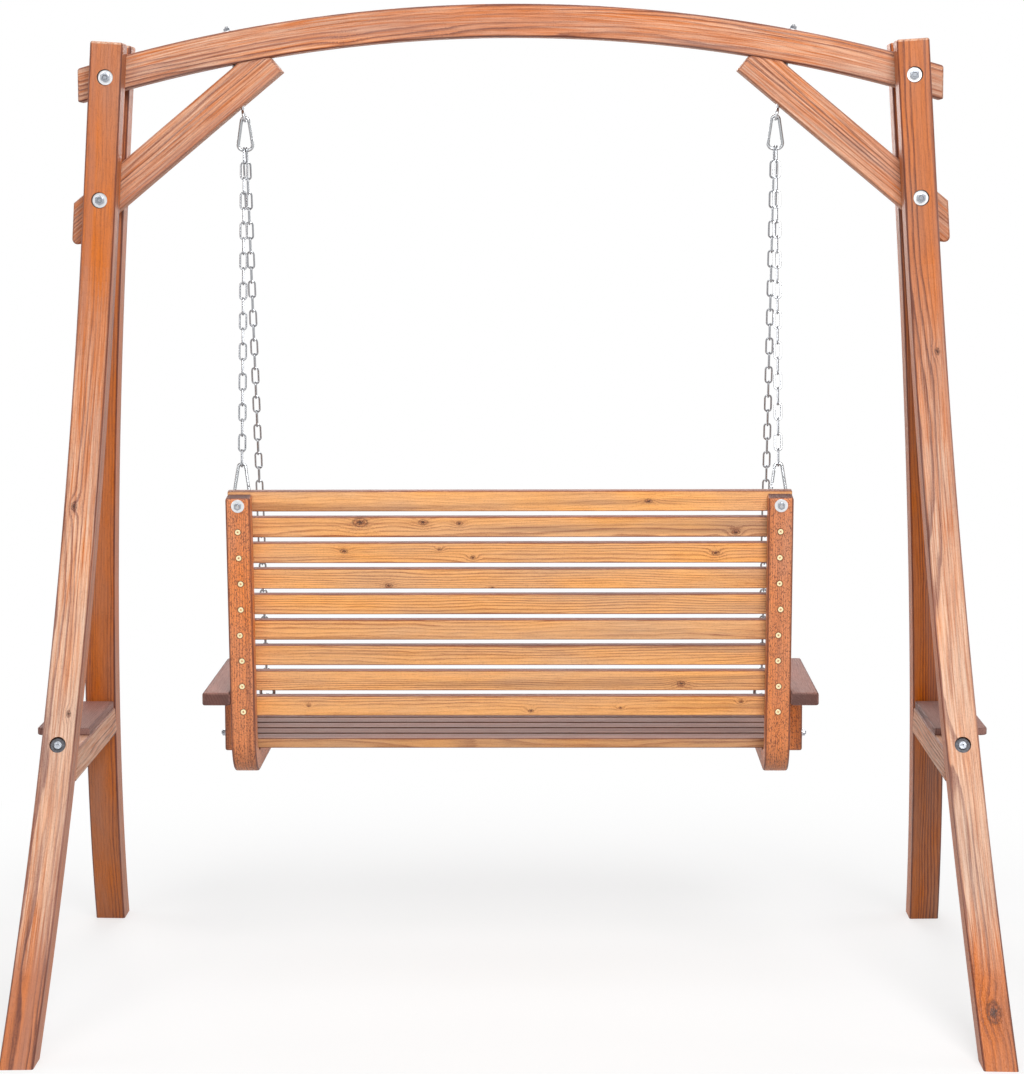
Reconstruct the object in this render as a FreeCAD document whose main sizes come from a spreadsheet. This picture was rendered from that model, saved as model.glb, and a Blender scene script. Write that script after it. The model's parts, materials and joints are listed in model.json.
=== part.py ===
import FreeCAD, Part
import math
import os
import re

# Driving sizes in millimetres and degrees. Front of the bench faces -Y, +Z is up,
# and the origin lies on the ground below the middle of the arch.
SIZES = {
    # Arched top beam and the bent legs
    "crown_height": 2000,
    "beam_radius": 3050,
    "beam_depth": 65,
    "beam_thick": 56,
    "beam_overhang": 68.9,
    "leg_width": 65,
    "leg_thick": 63,
    "leg_rise": 30.38,
    "leg_gap": 238.3,
    "leg_lean": 3.68,
    "leg_straight": 325,
    "leg_bend_radius": 2720,
    "edge_ease": 4,
    # Knee braces
    "brace_angle": 39.7,
    "brace_width": 70,
    "brace_reach": 440,
    "brace_tail": 61,
    "brace_corner": 9,
    # Bolts through legs, beam and braces
    "beam_bolt_drop": 70,
    "brace_bolt_drop": 312,
    "bolt_bore": 11,
    "bolt_shank": 10,
    "bolt_head_flats": 17,
    "bolt_head_height": 6.4,
    "nut_height": 8,
    "washer_wide": 30,
    "washer_thick": 2.5,
    "sink_bore": 32,
    "sink_depth": 10,
    "bolt_end_inset": 1,
    "hole_play": 1,
    "cut_past": 5,
    "thread_fit": 0.05,
    "seat_gap": 0.2,
    "hang_gap": 0.6,
    # Side rails and drinks shelves
    "rail_bottom": 476,
    "rail_height": 60,
    "rail_width": 56,
    "rail_shift": 4.55,
    "rail_bolt_up": 38,
    "rail_bolt_shank": 8,
    "rail_bolt_head": 16,
    "rail_bolt_head_height": 5,
    "rail_bolt_key": 5,
    "rail_bolt_key_depth": 3,
    "rail_bolt_grip": 45,
    "barrel_nut_wide": 14,
    "barrel_nut_long": 34,
    "pocket_play": 0.4,
    "shelf_width": 107,
    "shelf_thick": 15,
    "shelf_front_gap": 3.6,
    "shelf_back_gap": 147.6,
    "shelf_corner": 14,
    "shelf_inset": 1,
    # Eye bolts
    "eye_shank": 8,
    "eye_wire": 6,
    "eye_bore": 15,
    "eye_nut_flats": 13,
    "eye_nut_height": 6.5,
    "eye_washer_wide": 26,
    "eye_washer_thick": 2,
    "eye_tail": 3,
    "eye_room": 32.2,
    "eye_stand_off": 0.5,
    # Spring hooks and chains
    "hook_wire": 7,
    "hook_length": 72,
    "hook_flat": 8,
    "hook_wide_radius": 10.5,
    "hook_narrow_radius": 7.5,
    "hook_tongue": 3,
    "hook_tongue_wide": 5.9,
    "hook_tongue_past_pin": 3,
    "hook_stub": 5.5,
    "hook_nose": 3,
    "hook_catch": 5,
    "gate_flats": 6.2,
    "gate_slot": 3.6,
    "gate_slot_past_pin": 5.2,
    "gate_catch_room": 1.2,
    "gate_pin_wide": 2.6,
    "gate_pin_place": 10,
    "gate_heel": 2.4,
    "gate_end_gap": 0.45,
    "link_wire": 4,
    "link_pitch": 31,
    "link_inner_width": 9,
    "link_tip_angle": 53,
    "chain_spread": 5,
    # Bench side frames
    "frame_width": 49,
    "frame_thick": 44,
    "seat_top": 531,
    "bend_inner": 40,
    "bend_y": 100,
    "recline": 6,
    "post_length": 493,
    "seat_run": 436,
    # Slats
    "bench_width": 1113,
    "back_slat_width": 40.8,
    "back_slat_pitch": 52.3,
    "back_slat_rise": 5,
    "seat_slat_width": 54,
    "seat_slat_pitch": 63,
    "slat_thick": 20,
    "slat_ease": 2.5,
    # Armrests and their supports
    "arm_width": 56,
    "arm_thick": 26,
    "arm_top": 640,
    "arm_back_past": 8,
    "arm_length": 452,
    "support_width": 54,
    "support_depth": 62,
    "support_bottom": 454,
    "support_inset": 49,
    "arm_bolt_z": 488,
    "arm_bolt_shank": 8,
    "arm_bolt_bore": 9,
    "arm_bolt_head_height": 5.3,
    "arm_bolt_tail": 2,
}

# Round stock and drilled holes are many-sided, which keeps the facets few
ROUND_SIDES = 6
WIDE_SIDES = 8
EYE_STEPS = 8
BAR_SIDES = 6
LINK_SIDES = 4

# Two lengths closer than this are the same
NEAR = 0.5

BACK_SLATS = 9
SEAT_SLATS = 7
SIDES = {"left": -1, "right": 1}
ENDS = {"rear": 1, "front": -1}

doc = FreeCAD.newDocument("SwingBench")
sheet = doc.addObject("Spreadsheet::Sheet", "Sizes")
for row, (alias, size) in enumerate(SIZES.items(), start=1):
    sheet.set("A%d" % row, alias)
    sheet.set("B%d" % row, str(size))
    sheet.setAlias("B%d" % row, alias)
doc.recompute()

parts = []


def sized(formula):
    """Point each size's name in a formula at its cell in the sheet."""
    return re.sub(r"[a-z_]\w*", lambda m: "Sizes." + m[0] if m[0] in SIZES else m[0], formula)


def number(formula):
    """The value that a formula has now."""
    value = sheet.evalExpression(sized(formula))
    return float(getattr(value, "Value", value))


def tie(obj, **formulas):
    """Bind properties of an object to formulas of the sheet's sizes."""
    for prop, formula in formulas.items():
        obj.setExpression(prop, sized(str(formula)))
    return obj


def turn(axis, angle):
    """Formula of a rotation about a global axis."""
    vector = {"x": "1; 0; 0", "y": "0; 1; 0", "z": "0; 0; 1", "cycle": "1; 1; 1"}[axis]
    return "rotation(vector(%s); %s)" % (vector, angle)


def at(x, y, z, *turns):
    """Formula of a placement: a point, then the turns from the outermost to the innermost."""
    rotation = " * ".join(turns) if turns else turn("z", 0)
    return "placement(vector(%s; %s; %s); %s)" % (x, y, z, rotation)


def keep(obj, label):
    """Give a finished sub-part the label that names it."""
    obj.Label = label
    parts.append(obj)
    return obj


def new_body(name):
    return doc.addObject("PartDesign::Body", name)


def feature(body, kind, name, place, **formulas):
    """Add a primitive to a body, or take it away from the body."""
    return tie(body.newObject("PartDesign::" + kind, name), Placement=place, **formulas)


def primitive(kind, name, place, **formulas):
    return tie(doc.addObject("Part::" + kind, name), Placement=place, **formulas)


def joined(kind, name, base, tool):
    """A cut or common of two objects, or a fuse."""
    obj = doc.addObject("Part::" + kind, name)
    obj.Base = base
    obj.Tool = tool
    return obj


def gathered(kind, name, members):
    """A compound, fuse or common of several objects."""
    obj = doc.addObject("Part::" + kind, name)
    setattr(obj, "Links" if kind == "Compound" else "Shapes", members)
    return obj


def edge_work(body, kind, name, wanted, **formulas):
    """Chamfer or round the edges of a body's last feature that the test picks."""
    doc.recompute()
    base = body.Tip
    names = []
    for index, edge in enumerate(base.Shape.Edges, start=1):
        if wanted(edge):
            names.append("Edge%d" % index)
    worked = body.newObject("PartDesign::" + kind, name)
    worked.Base = (base, names)
    return tie(worked, **formulas)


def ease(body, name, size, wanted):
    """Take the sharp edges off sawn timber."""
    return edge_work(body, "Chamfer", name, wanted, Size=size)


def bore(body, name, place, wide, deep, sides=ROUND_SIDES):
    """Drill a hole into a body."""
    hole = feature(body, "SubtractivePrism", name, place, Height=deep,
                   Circumradius="(%s) / 2 / cos(180 / %d)" % (wide, sides))
    hole.Polygon = sides
    return hole


def rod(name, place, wide, long, sides=ROUND_SIDES):
    """A length of round stock."""
    stock = primitive("Prism", name, place, Circumradius="(%s) / 2" % wide, Height=long)
    stock.Polygon = sides
    return stock


def drill(name, place, wide, long):
    """The room that a round hole takes up, wide enough for round stock turned any way."""
    return rod(name, place, "(%s) / cos(180 / %d)" % (wide, ROUND_SIDES), long)


def along(edge, axis):
    """True for a straight edge that runs along a local axis."""
    if edge.Curve.TypeId != "Part::GeomLine":
        return False
    return abs(getattr(edge.Curve.Direction, axis)) > 0.999


def board(name, size, place, easing, axes, holes=()):
    """A sawn board with eased edges along the given axes, and holes as (place, diameter, depth)."""
    body = new_body(name)
    length, width, height = size
    feature(body, "AdditiveBox", name + "_blank", at("0", "0", "0"), Length=length, Width=width,
            Height=height)
    ease(body, name + "_eased", easing, lambda edge: any(along(edge, axis) for axis in axes))
    for index, (hole_place, wide, deep) in enumerate(holes):
        bore(body, "%s_hole_%d" % (name, index), hole_place, wide, deep)
    tie(body, Placement=place)
    return body


def ring(name, place, outer, inner, height):
    """A flat washer."""
    disc = rod(name + "_disc", place, outer, height, WIDE_SIDES)
    eye = drill(name + "_eye", place, inner, height)
    return joined("Cut", name, disc, eye)


def hexagon(name, place, flats, height):
    """A hexagonal prism, sized across its flats."""
    prism = primitive("Prism", name, place, Circumradius="(%s) / 2 / cos(30)" % flats, Height=height)
    prism.Polygon = 6
    return prism


def hex_nut(name, place, flats, bore_wide, height):
    block = hexagon(name + "_block", place, flats, height)
    hole = drill(name + "_hole", place, bore_wide, height)
    return joined("Cut", name, block, hole)


# Frames of reference that several pieces share
ARC_Z = "(crown_height - beam_radius)"
CHAIN_X = "((bench_width - frame_width) / 2)"
LEG_X = "(bench_width / 2 + leg_gap)"
LEG_TOP = "(%s + sqrt(beam_radius ^ 2 - %s ^ 2) + leg_rise)" % (ARC_Z, LEG_X)
BEAM_HALF_TURN = "asin((%s + beam_overhang) / beam_radius)" % LEG_X


def leg_place(side, end):
    """Placement of a leg's own frame: its origin at the top of its centre line, +Y away from the beam."""
    about_z = turn("z", 0 if end > 0 else 180)
    return at("%d * %s" % (side, LEG_X), "0", LEG_TOP, turn("y", "%d * leg_lean" % -side), about_z)


def on_leg(side, end, local):
    return leg_place(side, end) + " * " + local


BEND_CENTRE_Y = "(beam_thick / 2 + leg_bend_radius)"

# Turn along the leg's bend at which a rail bolt points at the nut inside its rail
RAIL_TURN = ("asin(((%s - rail_bottom - rail_bolt_up) / cos(leg_lean) - leg_straight)"
             " / (leg_bend_radius + rail_bolt_grip))" % LEG_TOP)
RAIL_X = ("(%s + tan(leg_lean) * (%s - rail_bottom - rail_height / 2) - rail_width / 2 - rail_shift)"
          % (LEG_X, LEG_TOP))
RAIL_HALF = "(%s - leg_bend_radius * cos(%s) + rail_height)" % (BEND_CENTRE_Y, RAIL_TURN)


def bolt_axis(reach):
    """Placement of the rail bolt's axis in a leg's frame, at a distance from the outer face inwards."""
    radius = "(leg_bend_radius - leg_thick + %s)" % reach
    y = "%s - %s * cos(%s)" % (BEND_CENTRE_Y, radius, RAIL_TURN)
    z = "-leg_straight - %s * sin(%s)" % (radius, RAIL_TURN)
    return at("0", y, z, turn("x", "90 deg + " + RAIL_TURN))


# Arched beam, bored for the leg bolts and for the eye bolts
def cross_bore(body, name, x, z, depth):
    """A bolt hole along Y through the whole thickness."""
    mouth = at(x, "%s / 2 + cut_past" % depth, z, turn("x", 90))
    bore(body, name, mouth, "bolt_bore", "%s + cut_past * 2" % depth)


def bolt_x(side, drop):
    return "%d * (%s + sin(leg_lean) * %s)" % (side, LEG_X, drop)


def bolt_z(drop):
    return "(%s - cos(leg_lean) * %s)" % (LEG_TOP, drop)


EYE_RADIUS = "(eye_bore / 2 + eye_wire / 2)"
EYE_HOLE = "(eye_shank + hole_play)"
RAIL_HOLE = "(rail_bolt_shank + hole_play)"

# The lowest wire of each hanging eye stands right over the chains, below the knee brace
BRACE_UNDER = ("(%s + (%s - %s) * tan(brace_angle) - brace_width / 2 / cos(brace_angle))"
               % (bolt_z("brace_bolt_drop"), bolt_x(1, "brace_bolt_drop"), CHAIN_X))
HANG_TURN = "atan(%s / (%s - eye_room - %s))" % (CHAIN_X, BRACE_UNDER, ARC_Z)
EYE_REACH = "(%s / sin(%s) + %s)" % (CHAIN_X, HANG_TURN, EYE_RADIUS)
EYE_DROP = "(beam_radius - beam_depth - %s)" % EYE_REACH


def radial(side, radius):
    """Placement on an eye bolt's axis, at a radius from the arch's centre, +Z outwards."""
    return at("%d * sin(%s) * (%s)" % (side, HANG_TURN, radius), "0",
              "%s + cos(%s) * (%s)" % (ARC_Z, HANG_TURN, radius), turn("y", "%d * %s" % (side, HANG_TURN)))


def make_beam():
    body = new_body("beam")
    sector = at("0", "beam_thick / 2", ARC_Z, turn("x", 90), turn("z", "90 deg - " + BEAM_HALF_TURN))
    feature(body, "AdditiveCylinder", "beam_sector", sector, Radius="beam_radius", Height="beam_thick",
            Angle=BEAM_HALF_TURN + " * 2")
    feature(body, "SubtractiveCylinder", "beam_inside", sector, Radius="beam_radius - beam_depth",
            Height="beam_thick", Angle=BEAM_HALF_TURN + " * 2")
    for name, side in SIDES.items():
        cross_bore(body, "beam_bolt_hole_" + name, bolt_x(side, "beam_bolt_drop"), bolt_z("beam_bolt_drop"),
                   "beam_thick")
        bore(body, "beam_eye_hole_" + name, radial(side, "beam_radius - beam_depth - cut_past"), EYE_HOLE,
             "beam_depth + cut_past * 2")
    keep(body, "arch_beam")


# Bent legs, cut level at the ground
def make_legs():
    ground = primitive("Box", "ground", at("-crown_height", "-crown_height", "-crown_height / 4"),
                       Length="crown_height * 2", Width="crown_height * 2", Height="crown_height / 4")
    bend = at("-leg_width / 2", BEND_CENTRE_Y, "-leg_straight", turn("cycle", 120), turn("z", 180))
    sweep = "asin((%s / cos(leg_lean) + leg_width - leg_straight) / (leg_bend_radius - leg_thick))" % LEG_TOP
    for side_name, side in SIDES.items():
        for end_name, end in ENDS.items():
            name = "leg_%s_%s" % (end_name, side_name)
            body = new_body(name + "_blank")
            feature(body, "AdditiveCylinder", name + "_bend", bend, Radius="leg_bend_radius",
                    Height="leg_width", Angle=sweep)
            feature(body, "SubtractiveCylinder", name + "_hollow", bend, Radius="leg_bend_radius - leg_thick",
                    Height="leg_width", Angle=sweep)
            top = at("-leg_width / 2", "beam_thick / 2", "-leg_straight")
            feature(body, "AdditiveBox", name + "_top", top, Length="leg_width", Width="leg_thick",
                    Height="leg_straight")
            ease(body, name + "_eased", "edge_ease",
                 lambda edge: min(vertex.Z for vertex in edge.Vertexes) > -NEAR)
            outer = "beam_thick / 2 + leg_thick"
            for bolt, drop in (("beam", "beam_bolt_drop"), ("brace", "brace_bolt_drop")):
                mouth = at("0", outer + " + cut_past", "-" + drop, turn("x", 90))
                bore(body, "%s_%s_hole" % (name, bolt), mouth, "bolt_bore", "leg_thick + cut_past * 2")
                bore(body, "%s_%s_sink" % (name, bolt), mouth, "sink_bore", "sink_depth + cut_past",
                     WIDE_SIDES)
            rail_mouth = bolt_axis("-cut_past")
            bore(body, name + "_rail_hole", rail_mouth, RAIL_HOLE, "leg_thick + cut_past * 2")
            bore(body, name + "_rail_sink", rail_mouth, "sink_bore", "sink_depth + cut_past", WIDE_SIDES)
            tie(body, Placement=leg_place(side, end))
            keep(joined("Cut", name, body, ground), name)


# Knee braces from leg to beam, with a tail past the leg
def make_braces():
    body = new_body("brace_blank")
    tail = "(brace_tail / cos(brace_angle) + brace_width)"
    feature(body, "AdditiveBox", "brace_bar", at("-brace_reach", "-beam_thick / 2", "-brace_width / 2"),
            Length="brace_reach + " + tail, Width="beam_thick", Height="brace_width")
    square_to_leg = at("0", "0", "0", turn("y", "-brace_angle - leg_lean"))
    feature(body, "SubtractiveBox", "brace_tail_cut",
            square_to_leg + " * " + at("brace_tail", "-beam_thick", "-brace_width * 2"),
            Length="brace_width * 3", Width="beam_thick * 2", Height="brace_width * 4")
    low = number("-brace_width / 2")
    edge_work(body, "Chamfer", "brace_tail_corner",
              lambda edge: (along(edge, "y") and edge.Vertexes[0].X > 0
                            and abs(edge.Vertexes[0].Z - low) < NEAR),
              Size="brace_corner")
    ease(body, "brace_eased", "edge_ease", lambda edge: along(edge, "x"))
    cross_bore(body, "brace_hole", "0", "0", "beam_thick")
    tie(body, Placement=at(bolt_x(1, "brace_bolt_drop"), "0", bolt_z("brace_bolt_drop"),
                           turn("y", "brace_angle")))
    below = primitive("Cylinder", "brace_under_beam", at("0", "beam_thick", ARC_Z, turn("x", 90)),
                      Radius="beam_radius - beam_depth", Height="beam_thick * 2")
    fitted = gathered("MultiCommon", "brace_fitted", [body, below])
    eye = drill("brace_eye_hole", radial(1, EYE_REACH), EYE_HOLE, EYE_DROP + " + cut_past")
    right = keep(joined("Cut", "knee_brace_right", fitted, eye), "knee_brace_right")
    left = doc.addObject("Part::Mirroring", "knee_brace_left")
    left.Source = right
    left.Normal = FreeCAD.Vector(1, 0, 0)
    keep(left, "knee_brace_left")


# Side rails between front and rear leg, ends shaped to the legs' bend
def make_rails():
    for name, side in SIDES.items():
        low_x = RAIL_X if side > 0 else "-%s - rail_width" % RAIL_X
        body = new_body("rail_%s_blank" % name)
        feature(body, "AdditiveBox", "rail_%s_bar" % name, at("0", "0", "0"), Length="rail_width",
                Width=RAIL_HALF + " * 2", Height="rail_height")
        ease(body, "rail_%s_eased" % name, "edge_ease", lambda edge: along(edge, "y"))
        tie(body, Placement=at(low_x, "-" + RAIL_HALF, "rail_bottom"))
        piece = body
        for end_name, end in ENDS.items():
            label = "rail_%s_%s" % (name, end_name)
            bend = primitive("Cylinder", label + "_bend",
                             on_leg(side, end, at("-leg_width * 2", BEND_CENTRE_Y, "-leg_straight",
                                                  turn("cycle", 120))),
                             Radius="leg_bend_radius", Height="leg_width * 4")
            piece = joined("Cut", label + "_fitted", piece, bend)
            hole = drill(label + "_hole", on_leg(side, end, bolt_axis("leg_thick - cut_past")), RAIL_HOLE,
                         "rail_bolt_grip + barrel_nut_wide + cut_past * 2")
            piece = joined("Cut", label + "_bored", piece, hole)
            pocket = rod(label + "_pocket", barrel_place(side, end, "pocket_play"),
                         "barrel_nut_wide + pocket_play * 2", "barrel_nut_long + rail_width")
            piece = joined("Cut", label + "_pocketed", piece, pocket)
        keep(piece, "side_rail_" + name)


def barrel_place(side, end, back_off):
    """Placement of a barrel nut across a rail, its axis along the leg's own X towards the outside."""
    outward = 90 if side * end > 0 else -90
    inner_end = "(%s)" % ("-barrel_nut_long / 2 - %s" % back_off)
    start = inner_end if outward > 0 else "-" + inner_end
    return on_leg(side, end, bolt_axis("leg_thick + rail_bolt_grip") + " * "
                  + at(start, "0", "0", turn("y", outward)))


# Drinks shelves on the rails, between the inner faces of front and rear leg
SHELF_Z = "(rail_bottom + rail_height)"
SHELF_FALL = "((%s - %s - shelf_thick) / cos(leg_lean) - leg_straight)" % (LEG_TOP, SHELF_Z)
SHELF_ROOM = "(%s - sqrt(leg_bend_radius ^ 2 - %s ^ 2))" % (BEND_CENTRE_Y, SHELF_FALL)


def make_shelves():
    for name, side in SIDES.items():
        low_x = "%s + shelf_inset" % RAIL_X if side > 0 else "-%s - shelf_inset - shelf_width" % RAIL_X
        body = new_body("shelf_" + name)
        feature(body, "AdditiveBox", "shelf_%s_blank" % name, at("0", "0", "0"), Length="shelf_width",
                Width="%s * 2 - shelf_front_gap - shelf_back_gap" % SHELF_ROOM, Height="shelf_thick")
        outer_x = number("shelf_width") if side > 0 else 0.0
        edge_work(body, "Fillet", "shelf_%s_corners" % name,
                  lambda edge: along(edge, "z") and abs(edge.Vertexes[0].X - outer_x) < NEAR,
                  Radius="shelf_corner")
        tie(body, Placement=at(low_x, "shelf_front_gap - " + SHELF_ROOM, SHELF_Z))
        keep(body, "side_shelf_" + name)


# Bolts, nuts and washers of the stand
def make_stand_fasteners():
    bolts = []
    nuts = []
    washers = []
    outer = "(beam_thick / 2 + leg_thick - sink_depth)"
    for side_name, side in SIDES.items():
        for bolt, drop in (("beam", "beam_bolt_drop"), ("brace", "brace_bolt_drop")):
            label = "%s_%s" % (bolt, side_name)
            x = bolt_x(side, drop)
            z = bolt_z(drop)
            head = hexagon("bolt_head_" + label, at(x, "-%s - washer_thick" % outer, z, turn("x", 90)),
                           "bolt_head_flats", "bolt_head_height")
            shank = rod("bolt_shank_" + label, at(x, "-%s - washer_thick" % outer, z, turn("x", -90)),
                        "bolt_shank", "%s * 2 + washer_thick * 2 + nut_height - bolt_end_inset" % outer)
            bolts.append(joined("Fuse", "bolt_" + label, head, shank))
            nuts.append(hex_nut("nut_" + label, at(x, outer + " + washer_thick", z, turn("x", -90)),
                                "bolt_head_flats", "bolt_shank + thread_fit * 2", "nut_height"))
            for end_name, end in ENDS.items():
                washers.append(ring("washer_%s_%s" % (label, end_name),
                                    at(x, "%d * %s" % (end, outer), z, turn("x", -90 * end)),
                                    "washer_wide", "bolt_bore", "washer_thick"))
    keep(gathered("Compound", "stand_bolts", bolts), "stand_bolts")
    rail_bolts = []
    barrel_nuts = []
    for side_name, side in SIDES.items():
        for end_name, end in ENDS.items():
            label = "rail_%s_%s" % (side_name, end_name)
            washers.append(ring("washer_" + label, on_leg(side, end, bolt_axis("sink_depth - washer_thick")),
                                "washer_wide", RAIL_HOLE, "washer_thick"))
            head = rod("head_" + label,
                       on_leg(side, end, bolt_axis("sink_depth - washer_thick - rail_bolt_head_height")),
                       "rail_bolt_head", "rail_bolt_head_height", WIDE_SIDES)
            shank = rod("shank_" + label, on_leg(side, end, bolt_axis("sink_depth - washer_thick")),
                        "rail_bolt_shank",
                        "leg_thick - sink_depth + washer_thick + rail_bolt_grip + barrel_nut_wide / 2")
            whole = joined("Fuse", "whole_" + label, head, shank)
            socket = hexagon("socket_" + label,
                             on_leg(side, end, bolt_axis("sink_depth - washer_thick - rail_bolt_head_height"
                                                      " - cut_past")),
                             "rail_bolt_key", "rail_bolt_key_depth + cut_past")
            rail_bolts.append(joined("Cut", "bolt_" + label, whole, socket))
            barrel = rod("barrel_" + label, barrel_place(side, end, "0"), "barrel_nut_wide",
                         "barrel_nut_long")
            tapped = drill("tapped_" + label, on_leg(side, end, bolt_axis("leg_thick")),
                         "rail_bolt_shank + thread_fit * 2", "rail_bolt_grip * 2")
            barrel_nuts.append(joined("Cut", "barrel_nut_" + label, barrel, tapped))
    keep(gathered("Compound", "rail_bolts", rail_bolts), "rail_bolts")
    keep(gathered("Compound", "barrel_nuts", barrel_nuts), "barrel_nuts")
    for side_name, side in SIDES.items():
        washers.append(ring("washer_hang_" + side_name, radial(side, "beam_radius"), "eye_washer_wide",
                            EYE_HOLE, "eye_washer_thick"))
        nuts.append(hex_nut("nut_hang_" + side_name, radial(side, "beam_radius + eye_washer_thick"),
                            "eye_nut_flats", "eye_shank + thread_fit * 2", "eye_nut_height"))
    keep(gathered("Compound", "stand_nuts", nuts), "stand_nuts")
    keep(gathered("Compound", "stand_washers", washers), "stand_washers")


# Eye bolts: a ring in the plane of its shank and of the bench's side
def eye_bolt(place, reach):
    """An eye at the placement's origin with its shank up along +Z to the given reach."""
    radius = number(EYE_RADIUS)
    half_step = math.pi / EYE_STEPS
    corner = radius / math.cos(half_step)
    path = [(corner * math.cos((2 * step + 1) * half_step), corner * math.sin((2 * step + 1) * half_step))
            for step in range(EYE_STEPS)]
    loop = bent_bar(path, section(number("eye_wire") / 2 / math.cos(math.pi / BAR_SIDES), BAR_SIDES), True)
    loop.rotate(FreeCAD.Vector(), FreeCAD.Vector(0, 0, 1), 90)
    shank = stick(FreeCAD.Vector(0, 0, radius), FreeCAD.Vector(0, 0, 1), number("eye_shank") / 2,
                  number(reach) - radius, ROUND_SIDES)
    return placed(loop.fuse(shank).removeSplitter(), point_of(place))


def make_hanger_eyes():
    reach = EYE_DROP + " + beam_depth + eye_washer_thick + eye_nut_height + eye_tail"
    bolts = [eye_bolt(radial(side, EYE_REACH), reach) for side in SIDES.values()]
    shaped("hanger_eye_bolts", Part.makeCompound(bolts))


# Bench side frames: seat run, bend and reclined back post
FRAME_TOP = "(seat_top - slat_thick)"
BEND_Z = "(%s + bend_inner)" % FRAME_TOP


def post_place(x, up, out):
    """Placement on a back post: a distance up from the bend, and out from its front face towards the rear."""
    y = "bend_y + cos(recline) * (bend_inner + %s) + sin(recline) * (%s)" % (out, up)
    z = "%s - sin(recline) * (bend_inner + %s) + cos(recline) * (%s)" % (BEND_Z, out, up)
    return at(x, y, z, turn("x", "-recline"))


def eye_x(side):
    """Where the chains of one side hang across the bench."""
    return "%d * %s" % (side, CHAIN_X)


BACK_EYE_UP = "(post_length + back_slat_rise - back_slat_width / 2)"
SEAT_FRONT_Y = "(bend_y - seat_run)"
FRONT_EYE_Y = "(%s + seat_slat_width / 2)" % SEAT_FRONT_Y
ARM_BACK_Y = "(bend_y + bend_inner + frame_thick + arm_back_past)"
SUPPORT_Y = "(%s - arm_length + support_inset)" % ARM_BACK_Y
EYE_STAND = "(slat_thick + eye_wire / 2 + %s + eye_stand_off)" % EYE_RADIUS


def rear_eye(side):
    """The rear eye of the bench stands in front of the top slat, its shank towards the rear."""
    return post_place(eye_x(side), BACK_EYE_UP, "-" + EYE_STAND) + " * " + at("0", "0", "0", turn("x", -90))


def front_eye(side):
    """The front eye stands on the front seat slat, its shank down through the side frame."""
    z = "%s + %s" % (FRAME_TOP, EYE_STAND)
    return at(eye_x(side), FRONT_EYE_Y, z, turn("x", 180))


def make_side_frames():
    for name, side in SIDES.items():
        body = new_body("side_frame_" + name)
        low_x = "%d * %s - frame_width / 2" % (side, CHAIN_X)
        bend = at(low_x, "bend_y", BEND_Z, turn("cycle", 120), turn("z", -90))
        feature(body, "AdditiveCylinder", name + "_frame_bend", bend, Radius="bend_inner + frame_thick",
                Height="frame_width", Angle="90 - recline")
        feature(body, "SubtractiveCylinder", name + "_frame_inside", bend, Radius="bend_inner",
                Height="frame_width", Angle="90 - recline")
        seat = at(low_x, SEAT_FRONT_Y, FRAME_TOP + " - frame_thick")
        feature(body, "AdditiveBox", name + "_frame_seat", seat, Length="frame_width", Width="seat_run",
                Height="frame_thick")
        feature(body, "AdditiveBox", name + "_frame_post", post_place(low_x, "0", "0"),
                Length="frame_width", Width="frame_thick", Height="post_length")
        ease(body, name + "_frame_eased", "edge_ease", lambda edge: not along(edge, "x"))
        bore(body, name + "_frame_rear_hole", rear_eye(side), EYE_HOLE, "frame_thick * 3")
        bore(body, name + "_frame_front_hole", front_eye(side), EYE_HOLE, "frame_thick * 3")
        arm_mouth = at(low_x + " - cut_past", SUPPORT_Y, "arm_bolt_z", turn("y", 90))
        bore(body, name + "_frame_arm_hole", arm_mouth, "arm_bolt_bore", "frame_width + cut_past * 2")
        keep(body, "side_frame_" + name)


def slat_holes(y, z, axis_turn):
    """Eye bolt holes near both ends of a slat, in the slat's own frame."""
    deep = "slat_thick + cut_past * 2"
    return [(at("bench_width / 2 + " + eye_x(side), y, z, turn("x", axis_turn)), EYE_HOLE, deep)
            for side in SIDES.values()]


def make_slats():
    for index in range(BACK_SLATS):
        up = "post_length + back_slat_rise - back_slat_width - back_slat_pitch * %d" % index
        place = post_place("-bench_width / 2", up, "-slat_thick")
        holes = slat_holes("slat_thick + cut_past", "back_slat_width / 2", 90) if index == 0 else ()
        name = "back_slat_%d" % (index + 1)
        size = ("bench_width", "slat_thick", "back_slat_width")
        keep(board(name, size, place, "slat_ease", "x", holes), name)
    for index in range(SEAT_SLATS):
        place = at("-bench_width / 2", "%s + seat_slat_pitch * %d" % (SEAT_FRONT_Y, index), FRAME_TOP)
        holes = slat_holes("seat_slat_width / 2", "-cut_past", 0) if index == 0 else ()
        name = "seat_slat_%d" % (index + 1)
        size = ("bench_width", "seat_slat_width", "slat_thick")
        keep(board(name, size, place, "slat_ease", "x", holes), name)


# Armrests on their front supports
def make_arms():
    outer = "bench_width / 2"
    for name, side in SIDES.items():
        low_x = outer if side > 0 else "-%s - arm_width" % outer
        arm = board("armrest_" + name, ("arm_width", "arm_length", "arm_thick"),
                    at(low_x, ARM_BACK_Y + " - arm_length", "arm_top - arm_thick"), "edge_ease", "xyz")
        keep(arm, "armrest_" + name)
        low_x = outer if side > 0 else "-%s - support_width" % outer
        hole = at("-cut_past", "support_depth / 2", "arm_bolt_z - support_bottom", turn("y", 90))
        support = board("arm_support_" + name,
                        ("support_width", "support_depth", "arm_top - arm_thick - support_bottom"),
                        at(low_x, SUPPORT_Y + " - support_depth / 2", "support_bottom"), "edge_ease", "z",
                        [(hole, "arm_bolt_bore", "support_width + cut_past * 2")])
        keep(support, "arm_support_" + name)


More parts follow.
